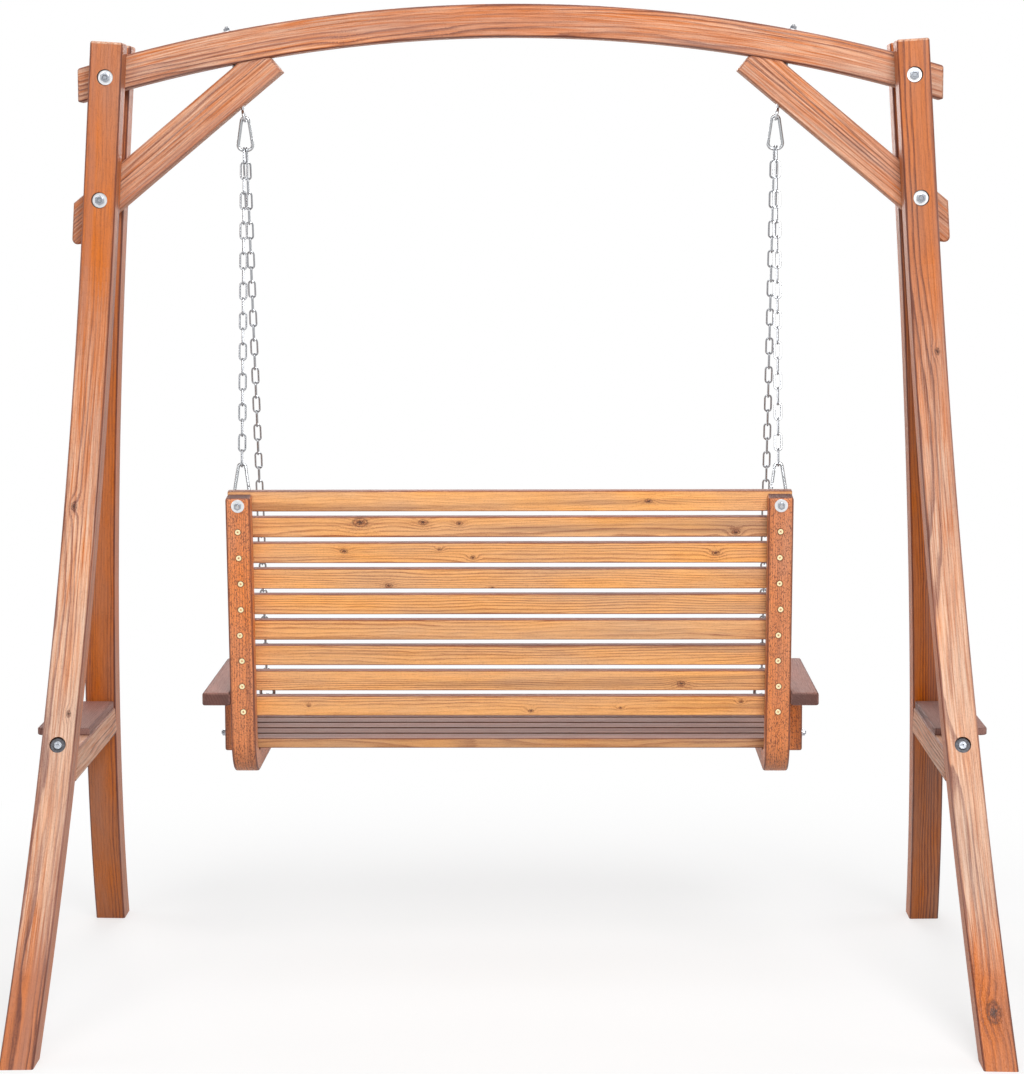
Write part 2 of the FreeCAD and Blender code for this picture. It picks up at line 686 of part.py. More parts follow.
def make_bench_fasteners():
    eyes = []
    nuts = []
    washers = []
    bolts = []
    through = EYE_STAND + " + frame_thick"
    reach = through + " + eye_washer_thick + eye_nut_height + eye_tail"
    for name, side in SIDES.items():
        for end_name, place in (("rear", rear_eye(side)), ("front", front_eye(side))):
            label = "bench_%s_%s" % (end_name, name)
            eyes.append(eye_bolt(place, reach))
            washers.append(ring("washer_" + label, place + " * " + at("0", "0", through),
                                "eye_washer_wide", EYE_HOLE, "eye_washer_thick"))
            nuts.append(hex_nut("nut_" + label, place + " * " + at("0", "0", through + " + eye_washer_thick"),
                                "eye_nut_flats", "eye_shank + thread_fit * 2", "eye_nut_height"))
        inner_x = "(bench_width / 2 - frame_width)"
        outer_x = "(bench_width / 2 + support_width)"
        outward = turn("y", 90 * side)
        label = "arm_" + name
        head_x = "%d * (%s - eye_washer_thick - arm_bolt_head_height)" % (side, inner_x)
        head = hexagon("head_" + label, at(head_x, SUPPORT_Y, "arm_bolt_z", outward), "eye_nut_flats",
                       "arm_bolt_head_height")
        shank = rod("shank_" + label,
                    at("%d * (%s - eye_washer_thick)" % (side, inner_x), SUPPORT_Y, "arm_bolt_z", outward),
                    "arm_bolt_shank",
                    "%s - %s + eye_washer_thick * 2 + eye_nut_height + arm_bolt_tail" % (outer_x, inner_x))
        bolts.append(joined("Fuse", "bolt_" + label, head, shank))
        for spot, x in (("inner", "(%s - eye_washer_thick)" % inner_x), ("outer", outer_x)):
            washers.append(ring("washer_%s_%s" % (label, spot),
                                at("%d * %s" % (side, x), SUPPORT_Y, "arm_bolt_z", outward),
                                "eye_washer_wide", "arm_bolt_bore", "eye_washer_thick"))
        nuts.append(hex_nut("nut_" + label, at("%d * (%s + eye_washer_thick)" % (side, outer_x), SUPPORT_Y,
                                               "arm_bolt_z", outward),
                            "eye_nut_flats", "arm_bolt_shank + thread_fit * 2", "eye_nut_height"))
    shaped("bench_eye_bolts", Part.makeCompound(eyes))
    keep(gathered("Compound", "arm_bolts", bolts), "arm_bolts")
    keep(gathered("Compound", "bench_nuts", nuts), "bench_nuts")
    keep(gathered("Compound", "bench_washers", washers), "bench_washers")


# Spring hooks: a pear of round wire, open on one side for the gate
PIN_BORE = "gate_pin_wide / cos(30) + thread_fit * 2"


def hook_outline():
    """Corner centres, tangent points and gate line of the pear, in the hook's own X and Z.

    The origin lies on the wire's centre line at the middle of the wide end.
    """
    rise = number("hook_length - hook_wire")
    wide = number("hook_wide_radius")
    narrow = number("hook_narrow_radius")
    flat = number("hook_flat / 2")
    low = FreeCAD.Vector(flat, 0, wide)
    high = FreeCAD.Vector(0, 0, rise - narrow)
    between = high - low
    lean = math.atan2(-between.x, between.z) + math.asin((wide - narrow) / between.Length)
    normal = FreeCAD.Vector(math.cos(lean), 0, math.sin(lean))
    return {"rise": rise, "low": low, "high": high, "normal": normal,
            "start": low + normal * wide, "end": high + normal * narrow,
            "up": FreeCAD.Vector(-math.sin(lean), 0, math.cos(lean))}


def mirrored(point):
    return FreeCAD.Vector(-point.x, point.y, point.z)


def tangent_arc(centre, radius, start, sweep, steps):
    """Corners of straight runs that touch an arc, which keeps the room inside it."""
    step = sweep / steps
    corner = radius / math.cos(step / 2)
    angles = [start + (index + 0.5) * step for index in range(steps)]
    return [(centre.x + corner * math.cos(angle), centre.z + corner * math.sin(angle)) for angle in angles]


def hook_shape():
    """Round wire from the gate's hinge round the wide end, up the spine and over to the nose."""
    pear = hook_outline()
    lean = math.atan2(pear["normal"].z, pear["normal"].x)
    wide = number("hook_wide_radius")
    stub = pear["start"] + pear["up"] * number("hook_stub")
    nose = pear["end"] - pear["up"] * number("hook_nose")
    quarter = math.pi / 2
    path = [(stub.x, stub.z)]
    path += tangent_arc(pear["low"], wide, lean, -quarter - lean, 2)
    path += tangent_arc(mirrored(pear["low"]), wide, -quarter, -quarter - lean, 2)
    path += tangent_arc(pear["high"], number("hook_narrow_radius"), math.pi - lean, -math.pi + 2 * lean, 3)
    path.append((nose.x, nose.z))
    body = bent_bar(path, section(number("hook_wire") / 2, BAR_SIDES), False)
    hinge = tongue_shape(stub, pear, number("gate_pin_place - hook_stub + hook_tongue_past_pin"))
    catch = tongue_shape(nose - pear["up"] * number("hook_catch"), pear, number("hook_catch"))
    return body.fuse([hinge, catch]).cut(pin_shape(pear, PIN_BORE)).removeSplitter()


def tongue_shape(foot, pear, length):
    """A flat tongue of nearly the wire's width, standing on the gate line."""
    wide = number("hook_tongue_wide")
    thick = number("hook_tongue")
    tongue = Part.makeBox(wide, thick, length, FreeCAD.Vector(-wide / 2, -thick / 2, 0))
    return placed(tongue, FreeCAD.Placement(foot, upright(pear["up"])))


def pin_shape(pear, wide):
    """A hinge pin across the hook, or the bore for one."""
    centre = pear["start"] + pear["up"] * number("gate_pin_place")
    half = FreeCAD.Vector(0, number("hook_wire / 2"), 0)
    return stick(centre - half, FreeCAD.Vector(0, 1, 0), number(wide) / 2, half.y * 2, BAR_SIDES)


def gate_shape():
    """A hexagonal bar with a slot at each end, on the hook's gate line."""
    pear = hook_outline()
    span = (pear["end"] - pear["start"]).Length
    first = number("gate_pin_place - gate_heel")
    last = span - number("hook_nose + gate_end_gap")
    bar = stick(pear["start"] + pear["up"] * first, pear["up"], number("gate_flats / 2 / cos(30)"),
                last - first, BAR_SIDES)
    slot = number("gate_slot")
    wide = number("gate_flats * 2")
    heel_slot = number("gate_heel + gate_slot_past_pin")
    nose_slot = number("hook_catch + gate_catch_room - gate_end_gap")
    for foot, size in ((first, heel_slot), (last - nose_slot, nose_slot)):
        cutter = Part.makeBox(wide, slot, size, FreeCAD.Vector(-wide / 2, -slot / 2, 0))
        place = FreeCAD.Placement(pear["start"] + pear["up"] * foot, upright(pear["up"]))
        bar = bar.cut(placed(cutter, place))
    return bar.cut(pin_shape(pear, PIN_BORE))


# Bent wire: a many-sided section swept along straight runs in the X and Z plane, mitred at the corners
def section(reach, sides):
    """Corners of a wire's section, as distances outwards and across, with a flat side outwards."""
    angles = [(2 * corner + 1) * math.pi / sides for corner in range(sides)]
    return [(reach * math.cos(angle), reach * math.sin(angle)) for angle in angles]


def bent_bar(path, corners, closed):
    rings = []
    last = len(path) - 1
    for index, (x, z) in enumerate(path):
        before = path[index - 1] if closed or index > 0 else None
        after = path[(index + 1) % len(path)] if closed or index < last else None
        outward = mitre(before, (x, z), after)
        rings.append([FreeCAD.Vector(x + outward[0] * out, across, z + outward[1] * out)
                      for out, across in corners])
    faces = []
    for index in range(len(rings) if closed else last):
        here = rings[index]
        following = rings[(index + 1) % len(rings)]
        for corner in range(len(corners)):
            beside = (corner + 1) % len(corners)
            faces.append(flat_face([here[corner], following[corner], following[beside], here[beside]]))
    if not closed:
        faces += [flat_face(rings[0]), flat_face(rings[-1])]
    solid = Part.makeSolid(Part.makeShell(faces))
    if solid.Volume < 0:
        solid.reverse()
    return solid


def flat_face(points):
    return Part.Face(Part.makePolygon(points + points[:1]))


def mitre(before, here, after):
    """Outward offset at a corner that keeps both neighbouring runs at full distance."""
    first = outward_normal(before or here, here if before else after)
    second = outward_normal(here if after else before, after or here)
    scale = 1 + first[0] * second[0] + first[1] * second[1]
    return ((first[0] + second[0]) / scale, (first[1] + second[1]) / scale)


def outward_normal(start, end):
    dx = end[0] - start[0]
    dz = end[1] - start[1]
    length = math.hypot(dx, dz)
    return (dz / length, -dx / length)


def stick(foot, direction, radius, length, sides):
    """A straight many-sided bar from a foot point."""
    points = [FreeCAD.Vector(out, across, 0) for out, across in section(radius, sides)]
    bar = flat_face(points).extrude(FreeCAD.Vector(0, 0, length))
    return placed(bar, FreeCAD.Placement(foot, upright(direction)))


# Chain links: a six-sided ring of square wire, whose pointed ends seat on the next link
def link_shape(inner_length):
    half_width = number("(link_inner_width + link_wire) / 2")
    tip = inner_length / 2 + number("link_wire / 2 / sin(link_tip_angle)")
    shoulder = tip - half_width / number("tan(link_tip_angle)")
    path = [(half_width, -shoulder), (half_width, shoulder), (0, tip),
            (-half_width, shoulder), (-half_width, -shoulder), (0, -tip)]
    return bent_bar(path, section(number("link_wire") / 2 / math.cos(math.pi / LINK_SIDES), LINK_SIDES), True)


def odd(count):
    """The nearest odd whole number, so that a chain's end links lie in the same plane."""
    return 2 * round((count - 1) / 2) + 1


def point_of(formula):
    """Point and rotation of a placement formula."""
    return sheet.evalExpression(sized(formula))


def chain_line(side, end):
    """The taut line of a chain: from the hanging hook's wide end to an eye of the bench."""
    rise = number("hook_length - hook_wire")
    pivot = hang_pivot(side)
    spread = side * end * number("chain_spread / 2")
    top = FreeCAD.Vector(pivot.x + spread, pivot.y, pivot.z - rise)
    eye = point_of(rear_eye(side) if end > 0 else front_eye(side)).Base
    line = top - eye
    seat = number("eye_bore / 2 - hook_wire / 2 - seat_gap")
    direction = FreeCAD.Vector(line).normalize()
    return top, eye + direction * seat, direction


def hang_pivot(side):
    """Centre of the hanging hook's wire where it lies in the stand's eye."""
    low_wire = point_of(radial(side, "%s - %s" % (EYE_REACH, EYE_RADIUS))).Base
    return low_wire + FreeCAD.Vector(0, 0, number("(eye_wire + hook_wire) / 2 + hang_gap"))


def shaped(label, shape, placement=None):
    """A sub-part whose shape is set directly."""
    obj = doc.addObject("Part::Feature", label)
    obj.Shape = shape
    if placement:
        obj.Placement = placement
    return keep(obj, label)


def upright(direction):
    """Rotation in a side plane that turns +Z to a direction."""
    return FreeCAD.Rotation(FreeCAD.Vector(0, 0, 1), direction)


def hook_places():
    """Placements of all six hooks, with the gate towards the middle of the bench."""
    places = {}
    for name, side in SIDES.items():
        inwards = FreeCAD.Rotation(FreeCAD.Vector(0, 0, 1), 180 if side > 0 else 0)
        pivot = hang_pivot(side)
        low = pivot - FreeCAD.Vector(0, 0, number("hook_length - hook_wire"))
        places["hanger", name] = FreeCAD.Placement(low, inwards)
        for end_name, end in ENDS.items():
            bottom, direction = chain_line(side, end)[1:]
            places[end_name, name] = FreeCAD.Placement(bottom, upright(direction) * inwards)
    return places


def make_hooks_and_chains():
    hook = hook_shape()
    gate = gate_shape()
    pin = pin_shape(hook_outline(), "gate_pin_wide")
    for (group, name), place in hook_places().items():
        shaped("%s_hook_%s" % (group, name), Part.makeCompound([hook, pin]), place)
        shaped("%s_gate_%s" % (group, name), gate.copy(), place)
    for name, side in SIDES.items():
        for end_name, end in ENDS.items():
            shaped("chain_%s_%s" % (end_name, name), chain_shape(side, end))


def placed(shape, placement):
    copy = shape.copy()
    copy.Placement = placement
    return copy


def chain_shape(side, end):
    """Links in a row, each turned a quarter turn from the one before."""
    top, bottom, direction = chain_line(side, end)
    low_wire = bottom + direction * number("hook_length - hook_wire")
    span = (top - low_wire).Length
    nest = number("link_wire / tan(link_tip_angle) + seat_gap")
    top_lap = number("hook_wire / 2 / sin(link_tip_angle) + hang_gap")
    low_lap = number("hook_wire / 2 / sin(link_tip_angle) + seat_gap")
    count = odd((span + top_lap + low_lap) / number("link_pitch"))
    inner = (span + top_lap + low_lap + (count - 1) * nest) / count
    step = inner - nest
    first = inner / 2 - top_lap
    link = link_shape(inner)
    links = []
    for index in range(count):
        centre = top - direction * (first + step * index)
        quarter = FreeCAD.Rotation(FreeCAD.Vector(0, 0, 1), 90 if index % 2 == 0 else 0)
        links.append(placed(link, FreeCAD.Placement(centre, upright(direction) * quarter)))
    print("chain", side, end, "links", count, "inner length", round(inner, 3))
    return Part.makeCompound(links)


def check_and_write():
    doc.recompute()
    for obj in doc.Objects:
        if "Invalid" in obj.State or "Error" in obj.State:
            raise RuntimeError("%s failed: %s" % (obj.Label, obj.State))
    os.makedirs("parts", exist_ok=True)
    for obj in parts:
        if obj.Shape.isNull() or not obj.Shape.isValid() or not obj.Shape.Solids:
            raise RuntimeError("%s has no valid shape" % obj.Label)
    for obj in parts:
        obj.Shape.exportStep(os.path.join("parts", obj.Label + ".step"))
    print(len(parts), "sub-parts,", sum(len(obj.Shape.Solids) for obj in parts), "solids")


make_beam()
make_legs()
make_braces()
make_rails()
make_shelves()
make_stand_fasteners()
make_hanger_eyes()
make_side_frames()
make_slats()
make_arms()
make_bench_fasteners()
make_hooks_and_chains()
check_and_write()
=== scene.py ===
"""Looks of a slatted swing bench that hangs on chains under an arched timber stand."""

from collections import namedtuple
import json
import math
import random

import bmesh
import bpy
from mathutils import Matrix, Quaternion, Vector


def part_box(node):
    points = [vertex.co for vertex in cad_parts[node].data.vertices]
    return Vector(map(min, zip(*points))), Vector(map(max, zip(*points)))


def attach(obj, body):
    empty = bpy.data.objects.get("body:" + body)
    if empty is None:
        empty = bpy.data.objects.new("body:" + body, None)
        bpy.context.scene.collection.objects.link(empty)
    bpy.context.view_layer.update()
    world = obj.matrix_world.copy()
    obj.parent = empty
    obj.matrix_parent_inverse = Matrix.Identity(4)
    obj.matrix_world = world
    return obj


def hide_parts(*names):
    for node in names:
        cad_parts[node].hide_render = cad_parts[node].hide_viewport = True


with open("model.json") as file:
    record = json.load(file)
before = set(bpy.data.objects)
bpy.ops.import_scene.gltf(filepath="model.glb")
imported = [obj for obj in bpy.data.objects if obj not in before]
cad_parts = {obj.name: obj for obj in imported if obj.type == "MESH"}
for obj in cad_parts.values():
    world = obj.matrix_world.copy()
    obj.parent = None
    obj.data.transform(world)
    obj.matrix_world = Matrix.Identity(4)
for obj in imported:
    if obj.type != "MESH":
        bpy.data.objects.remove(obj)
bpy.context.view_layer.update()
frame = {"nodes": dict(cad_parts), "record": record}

bl_info = {
    "name": "Swing bench",
    "version": (1, 0, 0),
    "blender": (4, 5, 0),
    "location": "View3D > Sidebar > Swing bench",
    "description": "Builds the timber, chains and fittings of a swing bench round its packed frame",
    "category": "Object",
}

BODY_OF = {node: body for body, nodes in frame["record"]["behaviour"]["bodies"].items() for node in nodes}
SIDES = {"left": -1, "right": 1}
ENDS = {"rear": 1, "front": -1}
BACK_SLATS = 9
SEAT_SLATS = 7
MM = 0.001


def length(label, text, millimetres):
    """A property for a length, with its default in millimetres."""
    return bpy.props.FloatProperty(name=label, description=text, default=millimetres * MM, unit="LENGTH",
                                   precision=5)


def angle(label, text, degrees):
    """A property for an angle, with its default in degrees."""
    return bpy.props.FloatProperty(name=label, description=text, default=math.radians(degrees),
                                   subtype="ANGLE", unit="ROTATION")


def colour(label, text, red, green, blue):
    """A property for a linear colour."""
    return bpy.props.FloatVectorProperty(name=label, description=text, default=(red, green, blue), size=3,
                                         min=0.0, max=1.0, subtype="COLOR")


class SwingStandSizes(bpy.types.PropertyGroup):
    """Timber of the stand."""
    crown_height: length("Crown height", "Ground to the top of the arch", 2000)
    beam_radius: length("Beam radius", "Outer radius of the arched beam", 3050)
    beam_depth: length("Beam depth", "Height of the beam's section", 65)
    beam_thick: length("Beam thickness", "Beam from front to rear", 56)
    beam_overhang: length("Beam overhang", "Beam past the legs' top centres", 68.9)
    leg_width: length("Leg width", "Leg along the stand", 65)
    leg_thick: length("Leg thickness", "Leg from front to rear", 63)
    leg_rise: length("Leg rise", "Leg top above the beam", 30.38)
    leg_gap: length("Leg gap", "Bench end to the leg's top centre", 238.3)
    leg_lean: angle("Leg lean", "Sideways lean of the legs", 3.68)
    leg_straight: length("Leg straight", "Straight run at a leg's top", 325)
    leg_bend_radius: length("Leg bend radius", "Radius of the leg's face on the beam", 2720)
    timber_round: length("Timber rounding", "Rounded edges of the stand's timber", 4.5)
    brace_angle: angle("Brace angle", "Slope of the knee braces", 39.7)
    brace_width: length("Brace width", "Height of a brace's section", 70)
    brace_reach: length("Brace reach", "Bolt to the brace's square upper end", 440)
    brace_tail: length("Brace tail", "Leg centre to the brace's lower end", 61)
    brace_corner: length("Brace corner", "Rounding of the brace's lower corner", 11)
    beam_bolt_drop: length("Beam bolt drop", "Leg top to the beam bolt", 70)
    brace_bolt_drop: length("Brace bolt drop", "Leg top to the brace bolt", 312)
    sink_wide: length("Sink width", "Counterbore of the bolts", 32)
    sink_depth: length("Sink depth", "Depth of the counterbores", 10)
    rail_bottom: length("Rail bottom", "Ground to the side rails", 476)
    rail_bolt_up: length("Rail bolt height", "Rail bottom to its bolt", 38)
    rail_bolt_grip: length("Rail bolt grip", "Bolt in the rail up to its nut", 45)
    shelf_corner: length("Shelf corner", "Rounded corners of the shelves", 14)


class SwingBenchSizes(bpy.types.PropertyGroup):
    """Timber of the bench."""
    bench_width: length("Bench width", "Length of the slats", 1113)
    frame_width: length("Frame width", "Side frame along the bench", 49)
    frame_thick: length("Frame thickness", "Depth of the side frame's section", 44)
    seat_top: length("Seat top", "Ground to the seat", 531)
    bend_inner: length("Bend radius", "Inner radius between seat and back", 40)
    bend_y: length("Bend place", "Where the seat run ends", 100)
    recline: angle("Recline", "Lean of the back", 6)
    post_length: length("Post length", "Straight run of the back posts", 493)
    seat_run: length("Seat run", "Straight run of the side frames", 436)
    back_slat_width: length("Back slat width", "Width of a back slat", 40.8)
    back_slat_pitch: length("Back slat pitch", "From one back slat to the next", 52.3)
    back_slat_rise: length("Back slat rise", "Top slat above the posts", 5)
    seat_slat_width: length("Seat slat width", "Width of a seat slat", 54)
    seat_slat_pitch: length("Seat slat pitch", "From one seat slat to the next", 63)
    slat_thick: length("Slat thickness", "Thickness of the slats", 20)
    slat_round: length("Slat rounding", "Rounded edges of the slats", 2.5)
    screw_wide: length("Screw head", "Head of the countersunk wood screws", 10.6)


class SwingHangSizes(bpy.types.PropertyGroup):
    """Bolts, eyes, hooks and chains."""
    washer_wide: length("Washer width", "Washers of the stand bolts", 30)
    washer_thick: length("Washer thickness", "Washers of the stand bolts", 2.5)
    nut_flats: length("Nut flats", "Stand nuts across their flats", 17)
    nut_height: length("Nut height", "Height of the stand nuts", 8)
    bolt_shank: length("Bolt shank", "Stand bolts", 10)
    bolt_head_height: length("Bolt head height", "Heads of the stand bolts", 6.4)
    rail_bolt_head: length("Rail bolt head", "Socket heads on the rail bolts", 16)
    rail_bolt_head_height: length("Rail bolt head height", "Socket heads on the rail bolts", 5)
    rail_bolt_key: length("Rail bolt key", "Hexagon socket across its flats", 5)
    eye_shank: length("Eye shank", "Shanks of the eye bolts", 8)
    eye_wire: length("Eye wire", "Wire of the eyes", 6)
    eye_bore: length("Eye bore", "Room inside an eye", 15)
    eye_nut_flats: length("Eye nut flats", "Nuts of the eye bolts", 13)
    eye_nut_height: length("Eye nut height", "Nuts of the eye bolts", 6.5)
    eye_washer_wide: length("Eye washer width", "Washers of the eye bolts", 26)
    eye_washer_thick: length("Eye washer thickness", "Washers of the eye bolts", 2)
    eye_tail: length("Eye tail", "Thread past an eye bolt's nut", 3)
    eye_room: length("Eye room", "Brace to the eye's lowest wire", 32.2)
    eye_stand_off: length("Eye stand-off", "Slat to the eye's ring", 0.5)
    arm_bolt_z: length("Arm bolt height", "Ground to the arm bolts", 488)
    arm_bolt_head_height: length("Arm bolt head", "Heads of the arm bolts", 5.3)
    arm_bolt_tail: length("Arm bolt tail", "Thread past the arm bolts' nuts", 2)
    hook_wire: length("Hook wire", "Wire of the spring hooks", 7)
    hook_length: length("Hook length", "Overall length of a spring hook", 72)
    hook_flat: length("Hook flat", "Straight run in a hook's wide end", 8)
    hook_wide_radius: length("Hook wide radius", "Corners of a hook's wide end", 10.5)
    hook_narrow_radius: length("Hook narrow radius", "A hook's narrow end", 7.5)
    hook_stub: length("Hook stub", "Wire past the wide end, below the gate", 5.5)
    hook_nose: length("Hook nose", "Wire past the narrow end", 3)
    hook_tongue: length("Hook tongue", "Flat tongue inside the gate's slots", 3)
    gate_wide: length("Gate width", "Gate of a spring hook", 6.2)
    gate_slot: length("Gate slot", "Slots in the gate's ends", 3.6)
    gate_pin_wide: length("Gate pin", "Rivet that the gate turns on", 2.6)
    gate_pin_place: length("Gate pin place", "Rivet along the gate line", 10)
    gate_heel: length("Gate heel", "Gate below its rivet", 2.4)
    hang_gap: length("Hang gap", "Play of the hanging hook in its eye", 0.6)
    seat_gap: length("Seat gap", "Play of the lower hooks in their eyes", 0.2)
    link_wire: length("Link wire", "Wire of the chain", 4)
    link_pitch: length("Link pitch", "Wanted pitch of the chain", 31)
    link_inner_width: length("Link inner width", "Room inside a link", 9)
    chain_spread: length("Chain spread", "Between two chains in one hook", 5)


class SwingFinishes(bpy.types.PropertyGroup):
    """Colours of timber and metal."""
    stand_pale: colour("Stand early wood", "Pale part of the rings on the stand", 0.58, 0.168, 0.042)
    stand_dark: colour("Stand late wood", "Dark part of the rings on the stand", 0.15, 0.034, 0.014)
    # Painted sheen of the stand: pale pinkish colours laid on the legs' upward faces and on beam, braces and
    # rails, in place of light reflected off their lacquer
    haze_pale: colour("Haze early wood", "Weathered pale wood of the stand", 0.82, 0.54, 0.38)
    haze_dark: colour("Haze late wood", "Weathered dark wood of the stand", 0.36, 0.17, 0.125)
    slat_pale: colour("Slat early wood", "Pale part of the rings on the slats", 0.9, 0.45, 0.175)
    slat_dark: colour("Slat late wood", "Dark part of the rings on the slats", 0.33, 0.095, 0.03)
    frame_pale: colour("Frame early wood", "Pale part of the side frames", 0.84, 0.275, 0.088)
    frame_dark: colour("Frame late wood", "Dark part of the side frames", 0.21, 0.058, 0.028)
    # The arm colours are the armrests' and shelves' own; on the seat slats and side frames they are painted
    # shade on faces that look up
    arm_pale: colour("Arm early wood", "Pale part of armrests, shelves and seat", 0.36, 0.18, 0.145)
    arm_dark: colour("Arm late wood", "Dark part of armrests, shelves and seat", 0.12, 0.05, 0.04)
    # The knot colour is also the painted shade in counterbores, between seat slats and round screw heads
    knot_core: colour("Knot", "Heart of a knot", 0.055, 0.018, 0.01)
    zinc: colour("Zinc", "Zinc plated bolts, nuts and washers", 0.6, 0.61, 0.63)
    hook_steel: colour("Hook steel", "Polished spring hooks", 0.48, 0.49, 0.505)
    chain_steel: colour("Chain steel", "Bright zinc on the chains", 0.4, 0.41, 0.43)
    bright_zinc: colour("Bright zinc", "Flat washers", 0.86, 0.87, 0.89)
    nut_zinc: colour("Nut zinc", "Nuts and bolt heads", 0.4, 0.42, 0.46)
    dark_zinc: colour("Dark zinc", "Washers in the shade of their sinks", 0.17, 0.17, 0.185)
    yellow_zinc: colour("Yellow zinc", "Passivated wood screws", 0.98, 0.88, 0.55)
    floor: colour("Floor", "Pale studio floor", 0.86, 0.86, 0.86)
    floor_dim: colour("Floor bounce", "What the floor throws back on the object", 0.45, 0.45, 0.45)


Sizes = namedtuple("Sizes", "stand bench hang finishes")


def sizes():
    """Stand, bench and hanging sizes, and the finishes."""
    scene = bpy.context.scene
    return Sizes(scene.swing_stand, scene.swing_bench, scene.swing_hang, scene.swing_finishes)


# Frames of reference
def chain_x():
    """Distance of the chains from the middle of the bench."""
    bench = sizes().bench
    return (bench.bench_width - bench.frame_width) / 2


def arc_z():
    """Height of the centre of the beam's arch."""
    stand = sizes().stand
    return stand.crown_height - stand.beam_radius


def leg_x():
    """Distance of a leg's top from the middle of the stand."""
    return sizes().bench.bench_width / 2 + sizes().stand.leg_gap


def leg_top():
    """Height of the legs' tops."""
    stand = sizes().stand
    return arc_z() + math.sqrt(stand.beam_radius ** 2 - leg_x() ** 2) + stand.leg_rise


def leg_matrix(side, end):
    """A leg's own frame: its origin at the top of its centre line, +Y away from the beam."""
    lean = Matrix.Rotation(-side * sizes().stand.leg_lean, 4, "Y")
    about = Matrix.Rotation(0 if end > 0 else math.pi, 4, "Z")
    return Matrix.Translation((side * leg_x(), 0, leg_top())) @ lean @ about


def bolt_point(side, drop):
    """Where a bolt crosses the stand, by its distance from the leg's top."""
    lean = sizes().stand.leg_lean
    return Vector((side * (leg_x() + math.sin(lean) * drop), 0, leg_top() - math.cos(lean) * drop))


def bend_centre_y():
    """Distance of the centre of a leg's bend from the middle of the stand."""
    stand = sizes().stand
    return stand.beam_thick / 2 + stand.leg_bend_radius


def rail_turn():
    """Turn along the leg's bend at which the rail bolt goes in."""
    stand = sizes().stand
    fall = (leg_top() - stand.rail_bottom - stand.rail_bolt_up) / math.cos(stand.leg_lean)
    return math.asin((fall - stand.leg_straight) / (stand.leg_bend_radius + stand.rail_bolt_grip))


def rail_bolt_matrix(side, end, depth):
    """On a rail bolt's axis, at a depth from the leg's outer face, +Z inwards."""
    stand = sizes().stand
    radius = stand.leg_bend_radius - stand.leg_thick + depth
    turn = rail_turn()
    place = Matrix.Translation((0, bend_centre_y() - radius * math.cos(turn),
                                -stand.leg_straight - radius * math.sin(turn)))
    return leg_matrix(side, end) @ place @ Matrix.Rotation(math.pi / 2 + turn, 4, "X")


def eye_radius():
    """Radius of an eye to the middle of its wire."""
    hang = sizes().hang
    return (hang.eye_bore + hang.eye_wire) / 2


def hang_low():
    """Height of the lowest wire of the hanging eyes."""
    stand, _, hang, _ = sizes()
    bolt = bolt_point(1, stand.brace_bolt_drop)
    under = bolt.z + (bolt.x - chain_x()) * math.tan(stand.brace_angle)
    return under - stand.brace_width / 2 / math.cos(stand.brace_angle) - hang.eye_room


def hang_matrix(side, radius):
    """On a hanging eye bolt's axis, at a radius from the arch's centre, +Z outwards."""
    turn = math.atan2(chain_x(), hang_low() - arc_z())
    point = (side * math.sin(turn) * radius, 0, arc_z() + math.cos(turn) * radius)
    return Matrix.Translation(point) @ Matrix.Rotation(side * turn, 4, "Y")


def hang_eye_radius():
    """Radius from the arch's centre to the middle of a hanging eye."""
    return math.hypot(chain_x(), hang_low() - arc_z()) + eye_radius()


def hang_pivot(side):
    """Middle of the hanging hook's wire in its eye, about which the bench swings."""
    hang = sizes().hang
    return Vector((side * chain_x(), 0, hang_low() + (hang.eye_wire + hang.hook_wire) / 2 + hang.hang_gap))


def frame_top():
    """Height of the side frames under the seat slats."""
    bench = sizes().bench
    return bench.seat_top - bench.slat_thick


def post_matrix(x, up, out):
    """On a back post: a distance up from the bend, and out from its front face towards the rear."""
    bench = sizes().bench
    cos, sin = math.cos(bench.recline), math.sin(bench.recline)
    reach = bench.bend_inner + out
    y = bench.bend_y + cos * reach + sin * up
    z = frame_top() + bench.bend_inner - sin * reach + cos * up
    return Matrix.Translation((x, y, z)) @ Matrix.Rotation(-bench.recline, 4, "X")


def eye_stand():
    """From the timber behind a slat to the middle of the eye in front of it."""
    _, bench, hang, _ = sizes()
    return bench.slat_thick + hang.eye_wire / 2 + eye_radius() + hang.eye_stand_off


def seat_front():
    """Where the seat starts."""
    bench = sizes().bench
    return bench.bend_y - bench.seat_run


def back_slat_up(index):
    """How far up the back posts a slat lies, counted from the top."""
    bench = sizes().bench
    top = bench.post_length + bench.back_slat_rise - bench.back_slat_width / 2
    return top - bench.back_slat_pitch * index


def seat_slat_y(index):
    """Where a slat of the seat lies, counted from the front."""
    bench = sizes().bench
    return seat_front() + bench.seat_slat_width / 2 + bench.seat_slat_pitch * index


def rear_eye_matrix(side):
    """The rear eye of the bench, its shank (+Z) towards the rear."""
    place = post_matrix(side * chain_x(), back_slat_up(0), -eye_stand())
    return place @ Matrix.Rotation(-math.pi / 2, 4, "X")


def front_eye_matrix(side):
    """The front eye on the seat, its shank (+Z) downwards."""
    place = Matrix.Translation((side * chain_x(), seat_slat_y(0), frame_top() + eye_stand()))
    return place @ Matrix.Rotation(math.pi, 4, "X")


def chain_line(side, end):
    """Top and bottom hook wire of a chain, and the direction up the chain."""
    hang = sizes().hang
    top = hang_pivot(side) - Vector((0, 0, hang.hook_length - hang.hook_wire))
    top.x += side * end * hang.chain_spread / 2
    eye = (rear_eye_matrix(side) if end > 0 else front_eye_matrix(side)).translation
    direction = (top - eye).normalized()
    bottom = eye + direction * (hang.eye_bore / 2 - hang.hook_wire / 2 - hang.seat_gap)
    return top, bottom, direction


